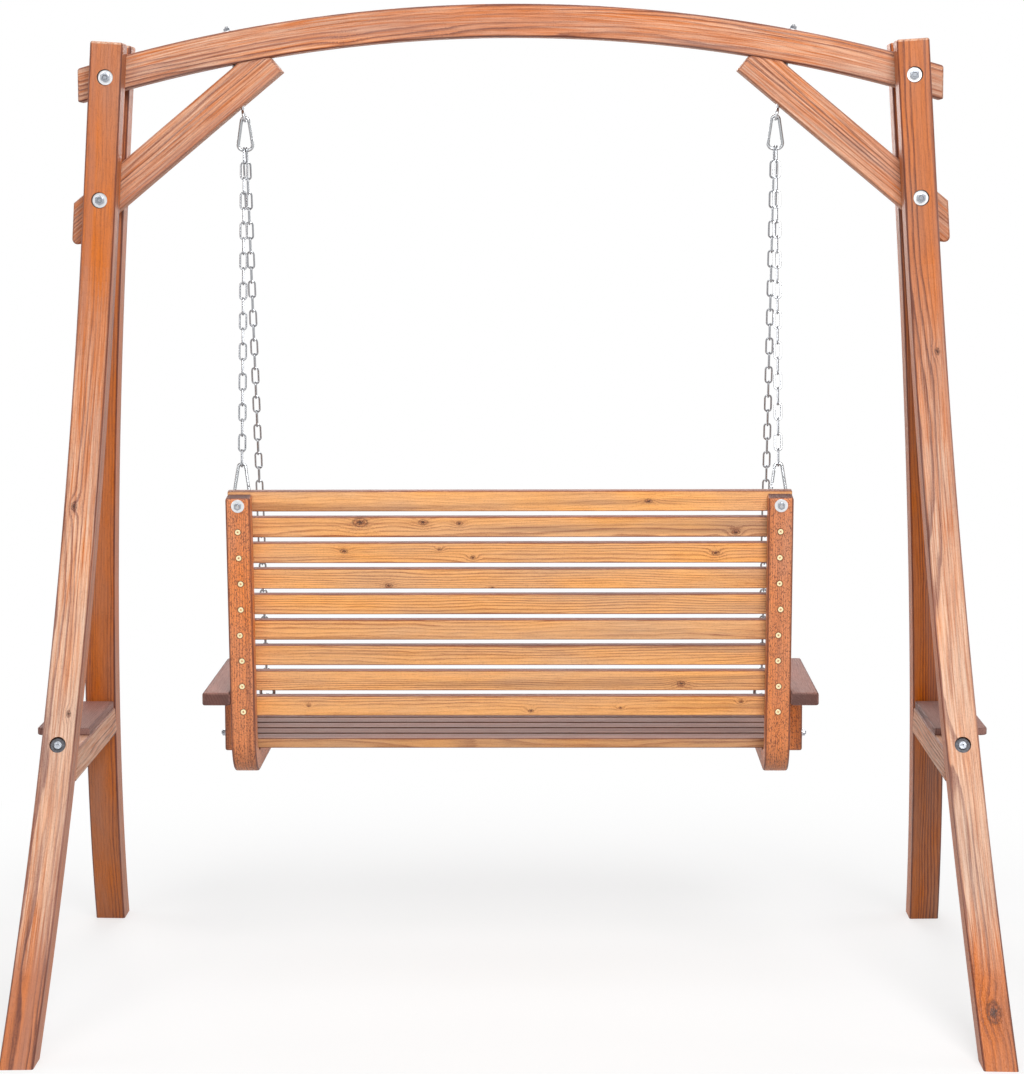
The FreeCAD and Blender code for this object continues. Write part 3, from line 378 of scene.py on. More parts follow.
def upright(direction):
    """Rotation that turns +Z to a direction by the shortest way."""
    return Vector((0, 0, 1)).rotation_difference(direction).to_matrix().to_4x4()


def facing(point, axis):
    """Matrix at a point with +Z along an axis."""
    return Matrix.Translation(point) @ upright(Vector(axis))


def shifted(distance):
    """Matrix that moves along Z."""
    return Matrix.Translation((0, 0, distance))


# Forms
def skin(rings, size, closed=False):
    """Faces between neighbouring rings of equal size, and the two end caps of an open form."""
    faces = []
    for ring in range(rings if closed else rings - 1):
        here = ring * size
        there = (ring + 1) % rings * size
        for index in range(size):
            after = (index + 1) % size
            faces.append([here + index, here + after, there + after, there + index])
    if not closed:
        last = (rings - 1) * size
        faces.append(list(range(size - 1, -1, -1)))
        faces.append(list(range(last, last + size)))
    return faces


def lofted(rings, closed=False):
    """Points and faces of a form laid over rings of points."""
    return [point for ring in rings for point in ring], skin(len(rings), len(rings[0]), closed)


class Form:
    """Points and faces of one piece, with the grain of its timber."""

    def __init__(self):
        self.points = []
        self.faces = []
        self.grain = []
        self.rim = []

    def add(self, points, faces, matrix=None):
        """Add a part, brought to its place by the matrix."""
        base = len(self.points)
        for point in points:
            self.points.append(matrix @ Vector(point) if matrix else Vector(point))
        self.faces += [[base + index for index in face] for face in faces]

    def add_timber(self, ring, grain, rim):
        """One ring of points round a piece of timber."""
        self.points += ring
        self.grain += grain
        self.rim += rim

    def mesh(self, name):
        """The form as a new mesh."""
        made = bpy.data.meshes.new(name)
        made.from_pydata(self.points, [], self.faces)
        made.validate()
        return made


def rounded_section(wide, high, radius, steps=4):
    """Points of a rectangle with rounded corners as (u, v, share of the rounding)."""
    points = []
    corners = ((1, 1), (-1, 1), (-1, -1), (1, -1))
    for index, (side_u, side_v) in enumerate(corners):
        for step in range(steps + 1):
            turn = math.pi / 2 * (index + step / steps)
            u = side_u * (wide / 2 - radius) + radius * math.cos(turn)
            v = side_v * (high / 2 - radius) + radius * math.sin(turn)
            points.append((u, v, math.sin(math.pi * step / steps)))
    return points


def rounding(radius, steps):
    """Steps round a quarter edge as (distance from the end face, inset from the side)."""
    turns = [math.pi / 2 * step / steps for step in range(steps + 1)]
    return [(radius * (1 - math.cos(turn)), radius * (1 - math.sin(turn))) for turn in turns]


def rounded_ends(stations, radius, steps=3):
    """Add the rings that round the two ends of a bar: (place along it, matrix, inset)."""
    first, last = stations[0], stations[-1]
    edge = rounding(radius, steps)[:-1] + [(radius, 0.0)]
    made = [(first[0] + shift, first[1] @ shifted(shift), inset) for shift, inset in edge]
    made += [(place, matrix, 0.0) for place, matrix in stations[1:-1]]
    made += [(last[0] - shift, last[1] @ shifted(-shift), inset) for shift, inset in reversed(edge)]
    return made


# Least corner of a section, as a share of its rounding
SHARPEST = 0.02


def timber_bar(stations, wide, high, radius):
    """Timber of rounded section along stations of (place along it, matrix with +Z along it)."""
    form = Form()
    rings = rounded_ends(stations, radius)
    size = 0
    for place, matrix, inset in rings:
        left = max(radius - inset, radius * SHARPEST)
        section = rounded_section(wide - 2 * inset, high - 2 * inset, left)
        size = len(section)
        form.add_timber([matrix @ Vector((u, v, 0)) for u, v, _ in section],
                        [(place, u, v) for u, v, _ in section],
                        [max(rim, inset / radius) for _, _, rim in section])
    form.faces = skin(len(rings), size)
    return form


# An outline's sharpest corners move inwards no further than this share allows
LEAST_CORNER = 0.3


def inset_outline(outline, inset):
    """Corners of an outline (u, v) moved inwards, square to their neighbours."""
    moved = []
    for index, corner in enumerate(outline):
        here = Vector(corner)
        first = (here - Vector(outline[index - 1])).normalized()
        second = (Vector(outline[(index + 1) % len(outline)]) - here).normalized()
        normal = Vector((-first.y - second.y, first.x + second.x))
        moved.append(here + normal * (inset / max(1 + first.dot(second), LEAST_CORNER)))
    return moved


def timber_plate(outline, thick, radius, matrix, grain_along):
    """A board cut to an outline (u, v), counterclockwise, with a rounded rim; thickness along local Z."""
    form = Form()
    rings = [(shift - thick / 2, inset) for shift, inset in rounding(radius, 3)]
    rings += [(-w, inset) for w, inset in reversed(rings)]
    for w, inset in rings:
        corners = inset_outline(outline, inset)
        rim = inset / radius if SHARPEST / 2 < inset / radius < 1 - SHARPEST / 2 else 0.0
        form.add_timber([matrix @ Vector((corner.x, corner.y, w)) for corner in corners],
                        [grain_along(corner.x, corner.y, w) for corner in corners], [rim] * len(corners))
    form.faces = skin(len(rings), len(outline))
    return form


def circle(radius, height, sides, clockwise=False):
    """Points round Z at a height; the radius is a length, or a function of the turn."""
    points = []
    for side in range(sides):
        turn = 2 * math.pi * side / sides
        reach = radius(turn) if callable(radius) else radius
        points.append((reach * math.cos(turn), reach * math.sin(turn), height))
    return points[::-1] if clockwise else points


def turned(profile, sides=24, closed=False):
    """Points and faces of a form turned about Z from (radius, height) pairs, with flat ends."""
    return lofted([circle(radius, height, sides) for radius, height in profile], closed)


def tube(path, radius, closed, sides=14):
    """Round wire along a path in the X and Z plane."""
    rings = []
    count = len(path)
    for index, (x, z) in enumerate(path):
        before = path[index - 1] if closed or index else path[0]
        after = path[(index + 1) % count] if closed or index < count - 1 else path[-1]
        run = Vector((after[0] - before[0], after[1] - before[1])).normalized()
        section = circle(radius, 0, sides, True)
        rings.append([(x + run.y * out, y, z - run.x * out) for out, y, _ in section])
    return lofted(rings, closed)


def arc(centre, radius, start, sweep, steps):
    """Points (x, z) on an arc, both ends included."""
    return [(centre[0] + radius * math.cos(start + sweep * step / steps),
             centre[1] + radius * math.sin(start + sweep * step / steps)) for step in range(steps + 1)]


# Finishes
def put(tree, kind, settings=None, inputs=None):
    """Add a node; an input that is given a socket is linked to it."""
    made = tree.nodes.new(kind)
    for key, value in (settings or {}).items():
        setattr(made, key, value)
    for key, value in (inputs or {}).items():
        if isinstance(value, bpy.types.NodeSocket):
            tree.links.new(value, made.inputs[key])
        else:
            made.inputs[key].default_value = value
    return made


def maths(tree, operation, *values, clamp=False):
    """A chain of sums, products and the like over two or more values, or a function of one."""
    total = values[0]
    for value in values[1:] or (None,):
        given = {0: total} if value is None else {0: total, 1: value}
        total = put(tree, "ShaderNodeMath", {"operation": operation, "use_clamp": clamp}, given).outputs[0]
    return total


def noise(tree, vector, detail, roughness=0.55, scale=1.0):
    """A noise texture's value."""
    node = put(tree, "ShaderNodeTexNoise", {"noise_dimensions": "3D"},
               {"Vector": vector, "Scale": scale, "Detail": detail, "Roughness": roughness})
    return node.outputs["Fac"]


def mapped(tree, value, low, high, to_low=0.0, to_high=1.0, smooth=True):
    """A value brought from one range to another, softly at both ends or straight."""
    node = put(tree, "ShaderNodeMapRange", {"interpolation_type": "SMOOTHSTEP" if smooth else "LINEAR"},
               {"Value": value, "From Min": low, "From Max": high, "To Min": to_low, "To Max": to_high})
    return node.outputs["Result"]


def mixed(tree, share, first, second):
    """A mix of two colours."""
    node = put(tree, "ShaderNodeMix", {"data_type": "RGBA"}, {"Factor": share, 6: first, 7: second})
    return node.outputs[2]


WHITE = (1.0, 1.0, 1.0, 1.0)
FLOAT = "NodeSocketFloat"
COLOUR = "NodeSocketColor"
VECTOR = "NodeSocketVector"


def new_group(name, inputs):
    """A group with named inputs, which puts out a colour, a roughness and a height."""
    tree = bpy.data.node_groups.new(name, "ShaderNodeTree")
    for kind, labels in inputs.items():
        for label in labels:
            tree.interface.new_socket(name=label, in_out="INPUT", socket_type=kind)
    for label, kind in (("Color", COLOUR), ("Roughness", FLOAT), ("Height", FLOAT)):
        tree.interface.new_socket(name=label, in_out="OUTPUT", socket_type=kind)
    entry = tree.nodes.new("NodeGroupInput")
    leave = tree.nodes.new("NodeGroupOutput")
    return tree, entry.outputs, leave.inputs


# Growth rings in metres: how far the pith wanders, the ripple on a ring, and the swell round a knot
PITH_DRIFT = 0.045
RING_RIPPLE = 0.004
KNOT_SWELL = 0.007
# Shares of a dark tone that rings, edges, streaks and knots take, and that painted shade in recesses and gaps
# takes
RIM_DARK = 0.85
STREAK_DARK = 0.3
SWELL_DARK = 0.2
SMEAR_DARK = 0.35
HEART_DARK = 0.9
SKIRT_DARK = 1.1
SUNK_DARK = 0.8
# Roughness added in step with the share of wear, painted sheen and painted top shade
DRY_ROUGH = 0.25
# Knots: how much shorter they count along the grain, the fall of the swell, and their inner rings
KNOT_LONG = 0.6
SWELL_FALL = -0.16
KNOT_RINGS = 16
# Height of late wood and fibres, and depth of flecks and of the skirt round a knot, in depths of the bump
LATE_HIGH = 0.55
FIBRE_HIGH = 0.4
FLECK_DEEP = 0.35
SKIRT_DEEP = 0.8


def grain_group():
    """Growth rings round a pith, fibres, flecks, knots and darkened edges of stained larch, with painted
    sheen, painted top shade and painted shade of recesses mixed in.
    """
    found = bpy.data.node_groups.get("Larch grain")
    if found:
        return found
    tree, given, result = new_group("Larch grain", {
        VECTOR: ("Grain", "Knot"),
        FLOAT: ("Rim", "Worn", "Sunk", "Ring Width", "Ring Strength", "Fleck Strength"),
        COLOUR: ("Pale", "Dark", "Worn Pale", "Worn Dark", "Core")})
    worn = given["Worn"]

    def times(*values):
        return maths(tree, "MULTIPLY", *values)

    def plus(*values, clamp=False):
        return maths(tree, "ADD", *values, clamp=clamp)

    def minus(first, second):
        return maths(tree, "SUBTRACT", first, second)

    def distance(first, second):
        return maths(tree, "SQRT", plus(times(first, first), times(second, second)))

    def strands(along, across, detail, roughness=0.55):
        """Noise with the given number of changes in a metre, along the grain and across it."""
        scaled = put(tree, "ShaderNodeVectorMath", {"operation": "MULTIPLY"},
                     {0: given["Grain"], 1: (along, across, across)})
        return noise(tree, scaled.outputs[0], detail, roughness)

    def smooth(value, *span):
        return mapped(tree, value, *span)

    def linear(value, *span):
        return mapped(tree, value, *span, smooth=False)

    place = put(tree, "ShaderNodeSeparateXYZ", None, {0: given["Grain"]}).outputs
    knot = put(tree, "ShaderNodeSeparateXYZ", None, {0: given["Knot"]}).outputs

    # Distance from the knot's middle, in knot radii, longer along the grain
    apart = distance(times(minus(place[0], knot[0]), KNOT_LONG), minus(place[1], knot[1]))
    wobble = strands(300, 300, 2)
    reach = times(maths(tree, "DIVIDE", apart, plus(knot[2], 0.00001)), linear(wobble, 0.3, 0.7, 0.85, 1.15))
    swell = maths(tree, "EXPONENT", times(reach, reach, SWELL_FALL))
    ragged = plus(reach, linear(strands(420, 700, 3), 0.3, 0.7, -0.45, 0.45))
    heart = smooth(ragged, 0.62, 0.38)
    disc = smooth(ragged, 1.15, 0.85)
    skirt = times(smooth(reach, 0.85, 1.02), smooth(reach, 1.32, 1.08))

    # Rings by their distance from the pith, which wanders along the board
    drift = times(strands(1.1, 8, 2), PITH_DRIFT)
    ripple = times(strands(9, 60, 2), RING_RIPPLE)
    bent = plus(distance(place[1], place[2]), drift, ripple, times(swell, KNOT_SWELL))
    phase = maths(tree, "FRACT", maths(tree, "DIVIDE", bent, given["Ring Width"]))
    late = times(smooth(phase, 0.35, 0.86), smooth(phase, 1.0, 0.9))
    fibre = strands(22, 900, 4, 0.65)
    fleck = smooth(strands(300, 480, 3, 0.7), 0.5, 0.63)
    streak = smooth(strands(1.1, 75, 3), 0.5, 0.75)
    patch = smooth(strands(0.6, 24, 2), 0.42, 0.6, 0.12, 1.0)

    # Share of the dark tone, in the timber's own colours and in those of its wear, painted sheen and top
    # shade
    share = plus(times(late, patch, given["Ring Strength"]), times(fleck, given["Fleck Strength"]),
                 linear(fibre, 0.35, 0.75, -0.18, 0.42), times(streak, STREAK_DARK), times(swell, SWELL_DARK))
    share = plus(share, times(given["Rim"], RIM_DARK), clamp=True)
    fresh_wood = mixed(tree, share, given["Pale"], given["Dark"])
    faded_wood = mixed(tree, share, given["Worn Pale"], given["Worn Dark"])

    # Painted sheen and top shade, with the wear, lie in threads along the grain where they are partial
    threads = linear(strands(7, 340, 3, 0.6), 0.3, 0.7, -2.2, 2.2)
    haze = plus(worn, times(worn, minus(1.0, worn), threads), clamp=True)
    stain = mixed(tree, haze, fresh_wood, faded_wood)

    # Blotches and smears over the board, then knots and the painted shade of recesses and gaps
    blotch = strands(3.2, 14, 3)
    smear = smooth(strands(0.8, 30, 2), 0.54, 0.68)
    shade = put(tree, "ShaderNodeHueSaturation", None,
                {"Hue": 0.5, "Saturation": linear(blotch, 0.3, 0.7, 0.9, 1.08),
                 "Value": linear(blotch, 0.25, 0.75, 0.82, 1.14), "Color": stain}).outputs[0]
    # Smears take the dark colour of the wear, painted sheen and top shade
    shade = mixed(tree, times(smear, SMEAR_DARK), shade, given["Worn Dark"])
    ringed = linear(maths(tree, "SINE", times(reach, KNOT_RINGS)), -1.0, 1.0, 0.35, 0.7)
    shade = mixed(tree, times(disc, ringed), shade, given["Dark"])
    # Knot hearts and skirts darken to the core colour, and so does the painted shade of counterbores, seat
    # gaps and screw rings
    for mask in (times(heart, HEART_DARK), times(skirt, wobble, SKIRT_DARK), times(given["Sunk"], SUNK_DARK)):
        shade = mixed(tree, mask, shade, given["Core"])
    tree.links.new(shade, result["Color"])
    satin = linear(fibre, 0.3, 0.75, 0.4, 0.6)
    tree.links.new(plus(satin, times(worn, DRY_ROUGH)), result["Roughness"])
    raised = plus(times(late, LATE_HIGH), times(fibre, FIBRE_HIGH))
    sunken = plus(times(fleck, FLECK_DEEP), times(skirt, SKIRT_DEEP))
    tree.links.new(minus(raised, sunken), result["Height"])
    return tree


# Plating: clouds and scratches in a metre, tone and added roughness of dull clouds, height of scratches
CLOUD_SCALE = 240.0
SCRATCH_SCALE = 1500.0
DULL_TONE = 0.55
DULL_ROUGH = 0.25
SCRATCH_HIGH = 0.3


def metal_group():
    """Mottled plating: cloudy tone, fine scratches and a slightly uneven skin."""
    found = bpy.data.node_groups.get("Plated metal")
    if found:
        return found
    tree, given, result = new_group("Plated metal", {COLOUR: ("Tone",), FLOAT: ("Cloud", "Polish")})
    coordinates = put(tree, "ShaderNodeTexCoord").outputs["Object"]
    cloud = noise(tree, coordinates, 3, scale=CLOUD_SCALE)
    scratch = noise(tree, coordinates, 4, 0.7, SCRATCH_SCALE)
    dull = maths(tree, "MULTIPLY", mapped(tree, cloud, 0.35, 0.7), given["Cloud"])
    dimmed = put(tree, "ShaderNodeHueSaturation", None,
                 {"Value": DULL_TONE, "Color": given["Tone"]}).outputs[0]
    tree.links.new(mixed(tree, dull, given["Tone"], dimmed), result["Color"])
    rough = maths(tree, "ADD", given["Polish"], mapped(tree, scratch, 0.3, 0.75, -0.05, 0.14, False),
                  maths(tree, "MULTIPLY", dull, DULL_ROUGH))
    tree.links.new(rough, result["Roughness"])
    lines = maths(tree, "MULTIPLY", scratch, SCRATCH_HIGH)
    tree.links.new(maths(tree, "ADD", lines, cloud), result["Height"])
    return tree


def new_material(name):
    """A material, its node tree and its shader."""
    material = bpy.data.materials.new(name)
    material.use_nodes = True
    tree = material.node_tree
    return material, tree, tree.nodes["Principled BSDF"]


# Bump of timber and metal: strength and depth
TIMBER_BUMP = (0.5, 1.2 * MM)
METAL_BUMP = (0.15, 0.3 * MM)
# Gloss of the lacquer, and of the studio floor with its roughness
LACQUER_GLOSS = 0.45
FLOOR_GLOSS = 0.1
FLOOR_ROUGH = 0.9


def surface(tree, shader, group, values, strength, distance):
    """Place a group in a material and link it to the shader, its height through a bump."""
    placed = put(tree, "ShaderNodeGroup", {"node_tree": group}, values).outputs
    bump = put(tree, "ShaderNodeBump", None,
               {"Strength": strength, "Distance": distance, "Height": placed["Height"]})
    tree.links.new(placed["Color"], shader.inputs["Base Color"])
    tree.links.new(placed["Roughness"], shader.inputs["Roughness"])
    tree.links.new(bump.outputs[0], shader.inputs["Normal"])


def opaque(value):
    """A colour with full alpha."""
    return (*value, 1.0)


def attribute(tree, name, socket):
    """What a mesh attribute says."""
    return put(tree, "ShaderNodeAttribute", {"attribute_name": name}).outputs[socket]


# Ring width in metres, ring and fleck strength, each timber's two own colours, and its two colours of wear,
# painted sheen (stand) and painted top shade (slats, frames)
TIMBERS = {
    "Stand timber": (0.0062, 0.75, 0.2, "stand_pale", "stand_dark", "haze_pale", "haze_dark"),
    "Slat timber": (0.0042, 0.55, 0.18, "slat_pale", "slat_dark", "arm_pale", "arm_dark"),
    "Frame timber": (0.0045, 0.3, 0.85, "frame_pale", "frame_dark", "arm_pale", "arm_dark"),
    "Arm timber": (0.0045, 0.6, 0.5, "arm_pale", "arm_dark", "arm_pale", "arm_dark"),
}


def timber(name):
    """Stained and lacquered larch, whose grain follows each piece."""
    found = bpy.data.materials.get(name)
    if found:
        return found
    finishes = sizes().finishes
    ring_width, ring_strength, fleck_strength, *tones = TIMBERS[name]
    material, tree, shader = new_material(name)
    values = {"Ring Width": ring_width, "Ring Strength": ring_strength, "Fleck Strength": fleck_strength,
              "Core": opaque(finishes.knot_core)}
    for label in ("Grain", "Knot"):
        values[label] = attribute(tree, label.lower(), "Vector")
    for label in ("Rim", "Worn", "Sunk"):
        values[label] = attribute(tree, label.lower(), "Fac")
    for label, tone in zip(("Pale", "Dark", "Worn Pale", "Worn Dark"), tones):
        values[label] = opaque(getattr(finishes, tone))
    surface(tree, shader, grain_group(), values, *TIMBER_BUMP)
    shader.inputs["Specular IOR Level"].default_value = LACQUER_GLOSS
    return material


# Cloudiness and polish of each metal, and its colour
METALS = {
    "Zinc hardware": (0.3, 0.2, "zinc"),
    "Washer zinc": (0.15, 0.28, "bright_zinc"),
    "Nut zinc": (0.25, 0.22, "nut_zinc"),
    "Shaded zinc": (0.4, 0.6, "dark_zinc"),
    "Brushed zinc": (0.4, 0.5, "nut_zinc"),
    "Hook steel": (0.18, 0.16, "hook_steel"),
    "Chain steel": (0.25, 0.2, "chain_steel"),
    "Yellow screws": (0.12, 0.42, "yellow_zinc"),
}


def metal(name):
    """Plated or polished steel."""
    found = bpy.data.materials.get(name)
    if found:
        return found
    cloud, polish, tone = METALS[name]
    material, tree, shader = new_material(name)
    values = {"Tone": opaque(getattr(sizes().finishes, tone)), "Cloud": cloud, "Polish": polish}
    surface(tree, shader, metal_group(), values, *METAL_BUMP)
    shader.inputs["Metallic"].default_value = 1.0
    return material


# Edges that turn by less than this are shaded smooth
SMOOTH_BELOW = math.radians(32)


def piece(name, mesh, material, nodes, body=None):
    """Put a finished mesh in the scene, on the body of the nodes that it stands for."""
    mesh.materials.append(material)
    mesh.shade_smooth()
    mesh.set_sharp_from_angle(angle=SMOOTH_BELOW)
    made = bpy.data.objects.new(name, mesh)
    bpy.context.scene.collection.objects.link(made)
    weighted = made.modifiers.new("Flat faces stay flat", "WEIGHTED_NORMAL")
    weighted.keep_sharp = True
    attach(made, body or BODY_OF[nodes[0]])
    if nodes:
        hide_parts(*nodes)
    return made


def fresh(polygon):
    """No wear, painted sheen or painted shade."""
    return 0.0


def evenly(share):
    """The same share on every face, of wear, painted sheen or painted shade."""
    return lambda polygon: share


def weathered(strength, start=0.5, span=0.4):
    """Share of a face by how far it looks up: painted sheen on the legs, painted top shade on slats and side
    frames.
    """
    return lambda polygon: strength * min(max((polygon.normal.z - start) / span, 0), 1)


# Logs that the timber is cut from: seed of the random draws, and how far off the pith lies
LOGS = {
    "beam": (11, 0.06),
    "leg": (21, 0.06),
    "brace": (41, 0.045),
    "rail": (51, 0.05),
    "shelf": (61, 0.05),
    "side_frame": (71, 0.04),
    "armrest": (81, 0.05),
    "arm_support": (91, 0.05),
    "screw_rim": (99, 0.04),
    "back_slat": (100, 0.035),
    "seat_slat": (200, 0.035),
}


# Where a piece may lie in its log: along it in metres, and across and into it in distances of the pith
ALONG_LOG = (1, 40)
ACROSS_LOG = (0.6, 1.4)
INTO_LOG = (0.4, 1.2)


def store(mesh, name, domain, values, kind="FLOAT", key="value"):
    """Store values as an attribute of a mesh."""
    mesh.attributes.new(name, kind, domain).data.foreach_set(key, values)


def mark_timber(mesh, grain, rim, log, number=0, knots=(), worn=fresh, sunk=fresh, fade=None):
    """Store where each point lies in its log: along the grain and from the pith, with the nearest knot.

    Wear with painted sheen (stand) and painted top shade (slats, frames), and the painted shade of recesses
    and gaps, are shares of a face; fade lessens the first from point to point.
    """
    seed, spread = LOGS[log]
    chance = random.Random(seed + number)
    shift = Vector((chance.uniform(*ALONG_LOG), chance.choice((-1, 1)) * chance.uniform(*ACROSS_LOG) * spread,
                    chance.uniform(*INTO_LOG) * spread))
    places = [value for point in grain for value in Vector(point) + shift]
    shares, marks = [], []
    for polygon in mesh.polygons:
        share = worn(polygon)
        shares += [share * fade(mesh.vertices[index].co) if fade else share for index in polygon.vertices]
        middle = Vector((0, 0))
        for index in polygon.vertices:
            middle += Vector(grain[index][:2])
        middle /= len(polygon.vertices)
        best = min(knots, key=lambda knot: (Vector(knot[:2]) - middle).length, default=None)
        marks += [best[0] + shift.x, best[1] + shift.y, best[2]] if best else [0.0, 0.0, 0.0]
    store(mesh, "grain", "POINT", places, "FLOAT_VECTOR", "vector")
    store(mesh, "rim", "POINT", list(rim))
    store(mesh, "sunk", "FACE", [sunk(polygon) for polygon in mesh.polygons])
    store(mesh, "worn", "CORNER", shares)
    store(mesh, "knot", "FACE", marks, "FLOAT_VECTOR", "vector")


def finish_timber(form, name, material, slot, node, log, number=0, **marks):
    """A piece of timber that stands for a node."""
    mesh = form.mesh(name)
    mark_timber(mesh, form.grain, form.rim, log, number, **marks)
    piece(name, mesh, timber(material), [node])


def finish_metal(form, name, finish, node):
    """A set of metal pieces that stands for a node."""
    piece(name, form.mesh(name), metal(finish), [node])


# Wanted distance between the stations of a bar
STEP = 0.03


def lengthwise(start, end, step=STEP):
    """Places from start to end at a nearly regular step, both included."""
    count = max(2, round((end - start) / step) + 1)
    return [start + (end - start) * index / (count - 1) for index in range(count)]


def bent_station(x, y, z, turn):
    """Matrix with +Z along a bar in the Y and Z plane: towards +Y at no turn, upwards at a quarter turn."""
    cos, sin = math.cos(turn), math.sin(turn)
    return Matrix(((-1, 0, 0, x), (0, -sin, cos, y), (0, cos, sin, z), (0, 0, 0, 1)))


# Knots: place along the timber and across it, and radius
BEAM_KNOTS = ((-0.39, 0.0, 0.006), (0.33, 0.004, 0.008), (0.12, 0.01, 0.005))
LEG_KNOTS = {
    "rear_left": ((1.95, 0.0, 0.012), (0.62, -0.014, 0.004)),
    "rear_right": ((0.93, 0.012, 0.005), (1.35, -0.015, 0.004)),
    "front_left": ((1.1, 0.01, 0.006),),
    "front_right": ((1.5, -0.01, 0.006),),
}
# The same for the back slats, from the middle of a slat
BACK_KNOTS = {
    1: ((-0.274, 0.0, 0.004),),
    2: ((0.295, 0.010, 0.008), (0.171, 0.010, 0.005), (0.099, 0.008, 0.0035), (-0.446, -0.011, 0.0045)),
    3: ((0.3285, 0.004, 0.004), (0.139, 0.008, 0.0025), (0.073, -0.009, 0.003), (-0.407, 0.0, 0.004)),
    4: ((0.240, -0.014, 0.004), (0.035, -0.018, 0.002)),
    8: ((-0.341, -0.006, 0.0045),),
    9: ((-0.220, -0.004, 0.002), (-0.041, -0.010, 0.003), (0.404, 0.0, 0.002), (-0.461, 0.008, 0.0025)),
}

# Painted sheen of the beam in its middle, and its growth for each metre from there
BEAM_WORN = 0.1
BEAM_WORN_GROWTH = 0.42
# Painted sheen on the legs: its strength, the least upward look of a face, and the span to full strength
LEG_WORN = (0.68, 0.04, 0.28)
# Height over which the legs' painted sheen fades out at the feet
FOOT_FADE = 0.15
# Even painted sheen on braces and rails; shelves and armrests only turn rougher, as their two colours are
# alike
BRACE_WORN = 0.3
RAIL_WORN = 0.6
SHELF_WORN = 1.0
ARMREST_WORN = 1.0
# Painted top shade on the side frames and slats, on faces that look up
FRAME_WORN = 0.9
SLAT_WORN = 0.95
# Painted shade on the seat slats' edges in the gaps, and at the front and rear of the seat
GAP_SHADE = 1.0
OUTER_SHADE = 0.35
# A face of a seat slat is one of its edges if it looks forwards or backwards by this share
EDGE_LOOK = 0.5


class SWING_OT_beam(bpy.types.Operator):
    """Build the arched top beam"""
    bl_idname = "swing.beam"
    bl_label = "Arched beam"

    def execute(self, context):
        stand = sizes().stand
        half = math.asin((leg_x() + stand.beam_overhang) / stand.beam_radius)
        middle = stand.beam_radius - stand.beam_depth / 2
        stations = []
        for place in lengthwise(-half * middle, half * middle):
            cos, sin = math.cos(place / middle), math.sin(place / middle)
            across = Matrix(((0, sin, cos, middle * sin), (1, 0, 0, 0),
                             (0, cos, -sin, arc_z() + middle * cos), (0, 0, 0, 1)))
            stations.append((place, across))
        form = timber_bar(stations, stand.beam_thick, stand.beam_depth, stand.timber_round)
        self.cut_upright(form, half * middle, middle)
        finish_timber(form, "beam_timber", "Stand timber", "stand_timber", "arch_beam", "beam",
                      knots=BEAM_KNOTS, worn=self.worn)
        return {"FINISHED"}

    def worn(self, polygon):
        """Painted sheen grows towards the beam's ends."""
        return BEAM_WORN + BEAM_WORN_GROWTH * abs(polygon.center.x)

    def cut_upright(self, form, end, middle):
        """Move the points near the beam's two ends, so that the ends stand upright."""
        stand = sizes().stand
        for point, (place, _, v) in zip(form.points, form.grain):
            turn = place / middle
            share = max(0, 1 - (end - abs(place)) / (2 * STEP))
            reach = math.copysign(share * (stand.beam_depth / 2 - v) * math.tan(abs(turn)), place)
            point += Vector((math.cos(turn), 0, -math.sin(turn))) * reach


